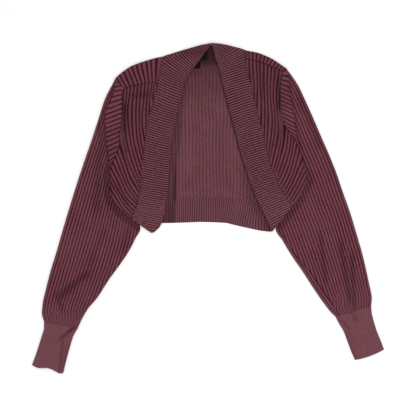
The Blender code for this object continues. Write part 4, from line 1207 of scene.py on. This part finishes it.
# %% Yarn colours, as linear red, green and blue
MAUVE = (0.130, 0.041, 0.054, 1.0)            # face of the ribs
MAUVE_WORN = (0.171, 0.064, 0.080, 1.0)       # and its lighter, rubbed fibres
MAUVE_BAND = (0.200, 0.084, 0.102, 1.0)       # rubbed fibres of the front band
MAUVE_CUFF = (0.158, 0.054, 0.070, 1.0)       # grooves of the cuffs, hardly different from their ribs
WINE = (0.053, 0.0038, 0.0110, 1.0)           # grooves of broad rib
BAND_GROOVE = (0.040, 0.007, 0.012, 1.0)      # grooves of the front band
SHADED_WINE = (0.050, 0.012, 0.018, 1.0)      # grooves of the hem band
INSIDE_OUT = (0.163, 0.060, 0.075, 1.0)       # the inside of the back, where its ribs stand up
INSIDE_GROOVE = (0.094, 0.031, 0.040, 1.0)    # and between them
DEEP = (0.012, 0.0035, 0.005, 1.0)            # what full shade blends towards
TAPE_LOW, TAPE_HIGH = (0.0015, 0.0015, 0.002, 1.0), (0.006, 0.006, 0.007, 1.0)
PAPER_LOW, PAPER_HIGH = (0.965, 0.965, 0.965, 1.0), (0.98, 0.98, 0.98, 1.0)
print("the face yarn has", round(MAUVE[0] / WINE[0], 1), "times the red of the groove yarn")

# %% Knit in two yarns
def knit(name, face, worn_face, groove, groove_edge, wales, stitch, relief):
    """Two-yarn rib knit. groove_edge is where, from groove to crest, the groove yarn ends and the
    face yarn is complete. wales is the stitches across one rib, stitch the length of one in mm."""
    r = Recipe(name)
    rib, run, pulled_and_painted_light = r.value_of("rib"), r.value_of("run"), r.value_of("open")
    place = r.node("ShaderNodeTexCoord", output="Object")
    crest = 1 - ((rib.wrap() * 2) - 1).size()
    wale = ((rib * wales).wrap() * 2 - 1).size()
    course = (run / stitch + wale * 0.5).wrap()
    loop = 1 - (course * 2 - 1).size()
    fleck = r.noise(420.0, 3.0, place)
    mottle = r.noise(1100.0, 2.0, place)
    cloud = r.noise(26.0, 3.0, place)
    # Where the face yarn covers the groove yarn: an edge that is uneven at three scales. Where the ribs
    # are pulled open it gives way to the groove yarn, and where light is painted it moves the other way.
    edge = crest + (mottle - 0.5) * 0.25 + (fleck - 0.5) * 0.45 + (cloud - 0.5) * 0.25 - pulled_and_painted_light * 0.13
    on_face = edge.between(*groove_edge)
    worn = (fleck * 1.5 + mottle * 0.4 + loop * 0.2).between(0.75, 1.3)
    plain = r.blend(on_face * (0.84 + loop * 0.16), groove, r.blend(worn, face, worn_face))
    # The inside of the knit has the same ribs, much fainter.
    faint = (crest * 0.75 + (fleck - 0.5) * 1.8 + (cloud - 0.5) * 0.7).between(-0.05, 0.64)
    wrong_side = r.blend(faint, INSIDE_GROOVE, INSIDE_OUT)
    knitted = r.blend(r.value_of("inside"), plain, wrong_side)
    colour = r.blend(r.value_of("shade"), knitted, DEEP)
    height = loop * 0.5 + wale * 0.35 + mottle * 0.25
    return r.finish(colour, 0.94 - on_face * 0.06, height, relief, 0.06)


BROAD = knit("broad_rib_knit", MAUVE, MAUVE_WORN, WINE, (0.16, 0.52), 3.0, 2.3, 0.0005)
NARROW = knit("narrow_rib_knit", MAUVE, MAUVE_BAND, BAND_GROOVE, (0.22, 0.80), 1.0, 2.0, 0.0004)
HEM = knit("hem_rib_knit", MAUVE_WORN, MAUVE_WORN, SHADED_WINE, (0.02, 0.66), 1.0, 2.0, 0.0004)
SMOOTH = knit("cuff_knit", MAUVE, MAUVE_WORN, MAUVE_CUFF, (-0.6, 0.2), 1.0, 1.8, 0.0004)
print("knits:", BROAD.name, NARROW.name, HEM.name, SMOOTH.name)

# %% Black woven tape
def tape(name):
    """Plain weave: warp and weft take turns on top."""
    r = Recipe(name)
    warp, weft = r.value_of("rib"), r.value_of("run")
    over = ((warp * math.pi).sine() * (weft * math.pi).sine()).between(-0.4, 0.4)
    return r.finish(r.blend(over, TAPE_LOW, TAPE_HIGH), 0.7 - over * 0.1, over, 0.0002, 0.01)


TAPE = tape("black_tape")
print("tape:", TAPE.name)

# %% [markdown]
# ## Which piece stands for which solid
# Every piece rides on the garment's one rigid body and replaces the plain solid of the same part.

# %% The cut of every piece
SLOTS = {BROAD: "rib_knit", NARROW: "fine_rib_knit", HEM: "fine_rib_knit", SMOOTH: "fine_rib_knit",
         TAPE: "label_cloth"}
SLEEVES, BACK = ["knit_sleeve_left", "knit_sleeve_right"], ["knit_back_panel"]
BACK_AND_HEM = BACK + ["knit_hem_band"]
# Piece: its solid, its material, width and length in metres, area in square metres, what it rests on.
CUT = {
    "knit_back_panel": ("back_panel", BROAD, 0.44, 0.40, 0.145, SLEEVES),
    "knit_front_left": ("front_left", BROAD, 0.11, 0.30, 0.0225, BACK),
    "knit_front_right": ("front_right", BROAD, 0.13, 0.33, 0.024, BACK),
    "knit_sleeve_left": ("sleeve_left", BROAD, 0.30, 0.52, 0.140, ["floor"]),
    "knit_sleeve_right": ("sleeve_right", BROAD, 0.30, 0.52, 0.140, ["floor"]),
    "knit_cuff_left": ("cuff_left", SMOOTH, 0.145, 0.10, 0.0142, ["floor"]),
    "knit_cuff_right": ("cuff_right", SMOOTH, 0.145, 0.10, 0.0142, ["floor"]),
    "knit_band_left": ("band_left", NARROW, 0.060, 0.46, 0.026, BACK_AND_HEM),
    "knit_band_right": ("band_right", NARROW, 0.060, 0.46, 0.026, BACK_AND_HEM),
    "knit_neck_band": ("neck_band", NARROW, 0.150, 0.055, 0.0046, ["floor"]),
    "knit_hem_band": ("hem_band", HEM, 0.375, 0.075, 0.0175, ["floor"]),
    "tape_neck_label": ("neck_label", TAPE, 0.026, 0.023, None, ["knit_neck_band"]),
    "tape_size_tab": ("size_tab", TAPE, 0.017, 0.0165, None, BACK),
}
print("pieces without a cut:", sorted(set(PIECES) - set(CUT)))

# %% Dressing the frame
for name, (node, material, width, length, area, rests_on) in CUT.items():
    piece, slot = PIECES[name], SLOTS[material]
    piece.data.materials.clear()
    piece.data.materials.append(material)
    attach(piece, "root")
    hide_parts(node)
    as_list(rests_on)
print(len(CUT), "pieces dressed")

# %% [markdown]
# ## The floor
# The garment lies on a plain white surface. It could be a large thin box. One face is enough, a
# little below the lowest cloth so that the two never share a plane.

# %% A plain floor
FLOOR_REACH, FLOOR_DROP = 3.0, 0.0003   # metres


def floor(name):
    """One square face, which is stage and not part of the garment."""
    mesh = bpy.data.meshes.new(name)
    corners = [(-1, -1), (1, -1), (1, 1), (-1, 1)]
    points = [(x * FLOOR_REACH, y * FLOOR_REACH, -FLOOR_DROP) for x, y in corners]
    mesh.from_pydata(points, [], [(0, 1, 2, 3)])
    plane = bpy.data.objects.new(name, mesh)
    bpy.context.scene.collection.objects.link(plane)
    r = Recipe("white_paper")
    grain = r.noise(60.0, 4.0, r.node("ShaderNodeTexCoord", output="Object"))
    plane.data.materials.append(r.finish(r.blend(grain, PAPER_LOW, PAPER_HIGH), 0.9, grain, 0.0001, 0.0))
    print("the floor is", 2 * FLOOR_REACH, "m wide")


floor("floor")

# %% [markdown]
# ## Light and camera
# The photograph was taken from straight above in soft, even light. A large lamp overhead and a
# smaller, weaker one from the upper left keep the ribs readable, and a white world fills the rest. A
# sun would do for the ribs, but its hard shadows aren't in the photograph. A long lens looks straight
# down, so that heights don't shift the outline.

# %% Lamps and world
WORLD_STRENGTH = 0.68


def lamp(name, size, power, place):
    """A round lamp at a place in metres that shines at the middle of the garment."""
    data = bpy.data.lights.new(name, "AREA")
    data.shape, data.size, data.energy = "DISK", size, power
    light = bpy.data.objects.new(name, data)
    light.location = place
    x, y, z = -np.array(place) / np.linalg.norm(place)
    light.rotation_euler = (math.acos(-z), 0, math.atan2(x, -y))
    bpy.context.scene.collection.objects.link(light)
    print(name, "gives", power, "W")


lamp("overhead_lamp", 2.2, 38.0, (0.45, -0.3, 2.6))
lamp("upper_left_lamp", 1.2, 28.0, (-1.9, 1.6, 1.5))

world = bpy.data.worlds.new("white_room")
world.use_nodes = True
background = world.node_tree.nodes["Background"]
background.inputs["Color"].default_value = (1.0, 1.0, 1.0, 1.0)
background.inputs["Strength"].default_value = WORLD_STRENGTH
bpy.context.scene.world = world
bpy.context.scene.view_settings.view_transform = "Standard"

# %% The camera
FRAME_WIDTH = 0.9152   # metres across the picture: 416 pixels of 2.2 mm
CAMERA_HEIGHT = 3.2
lens = bpy.data.cameras.new("camera")
lens.lens = lens.sensor_width * CAMERA_HEIGHT / FRAME_WIDTH
camera = bpy.data.objects.new("camera", lens)
camera.location = (0.0, 0.0, CAMERA_HEIGHT)
bpy.context.scene.collection.objects.link(camera)
bpy.context.scene.camera = camera
print("lens", round(lens.lens, 1), "mm from", CAMERA_HEIGHT, "m")
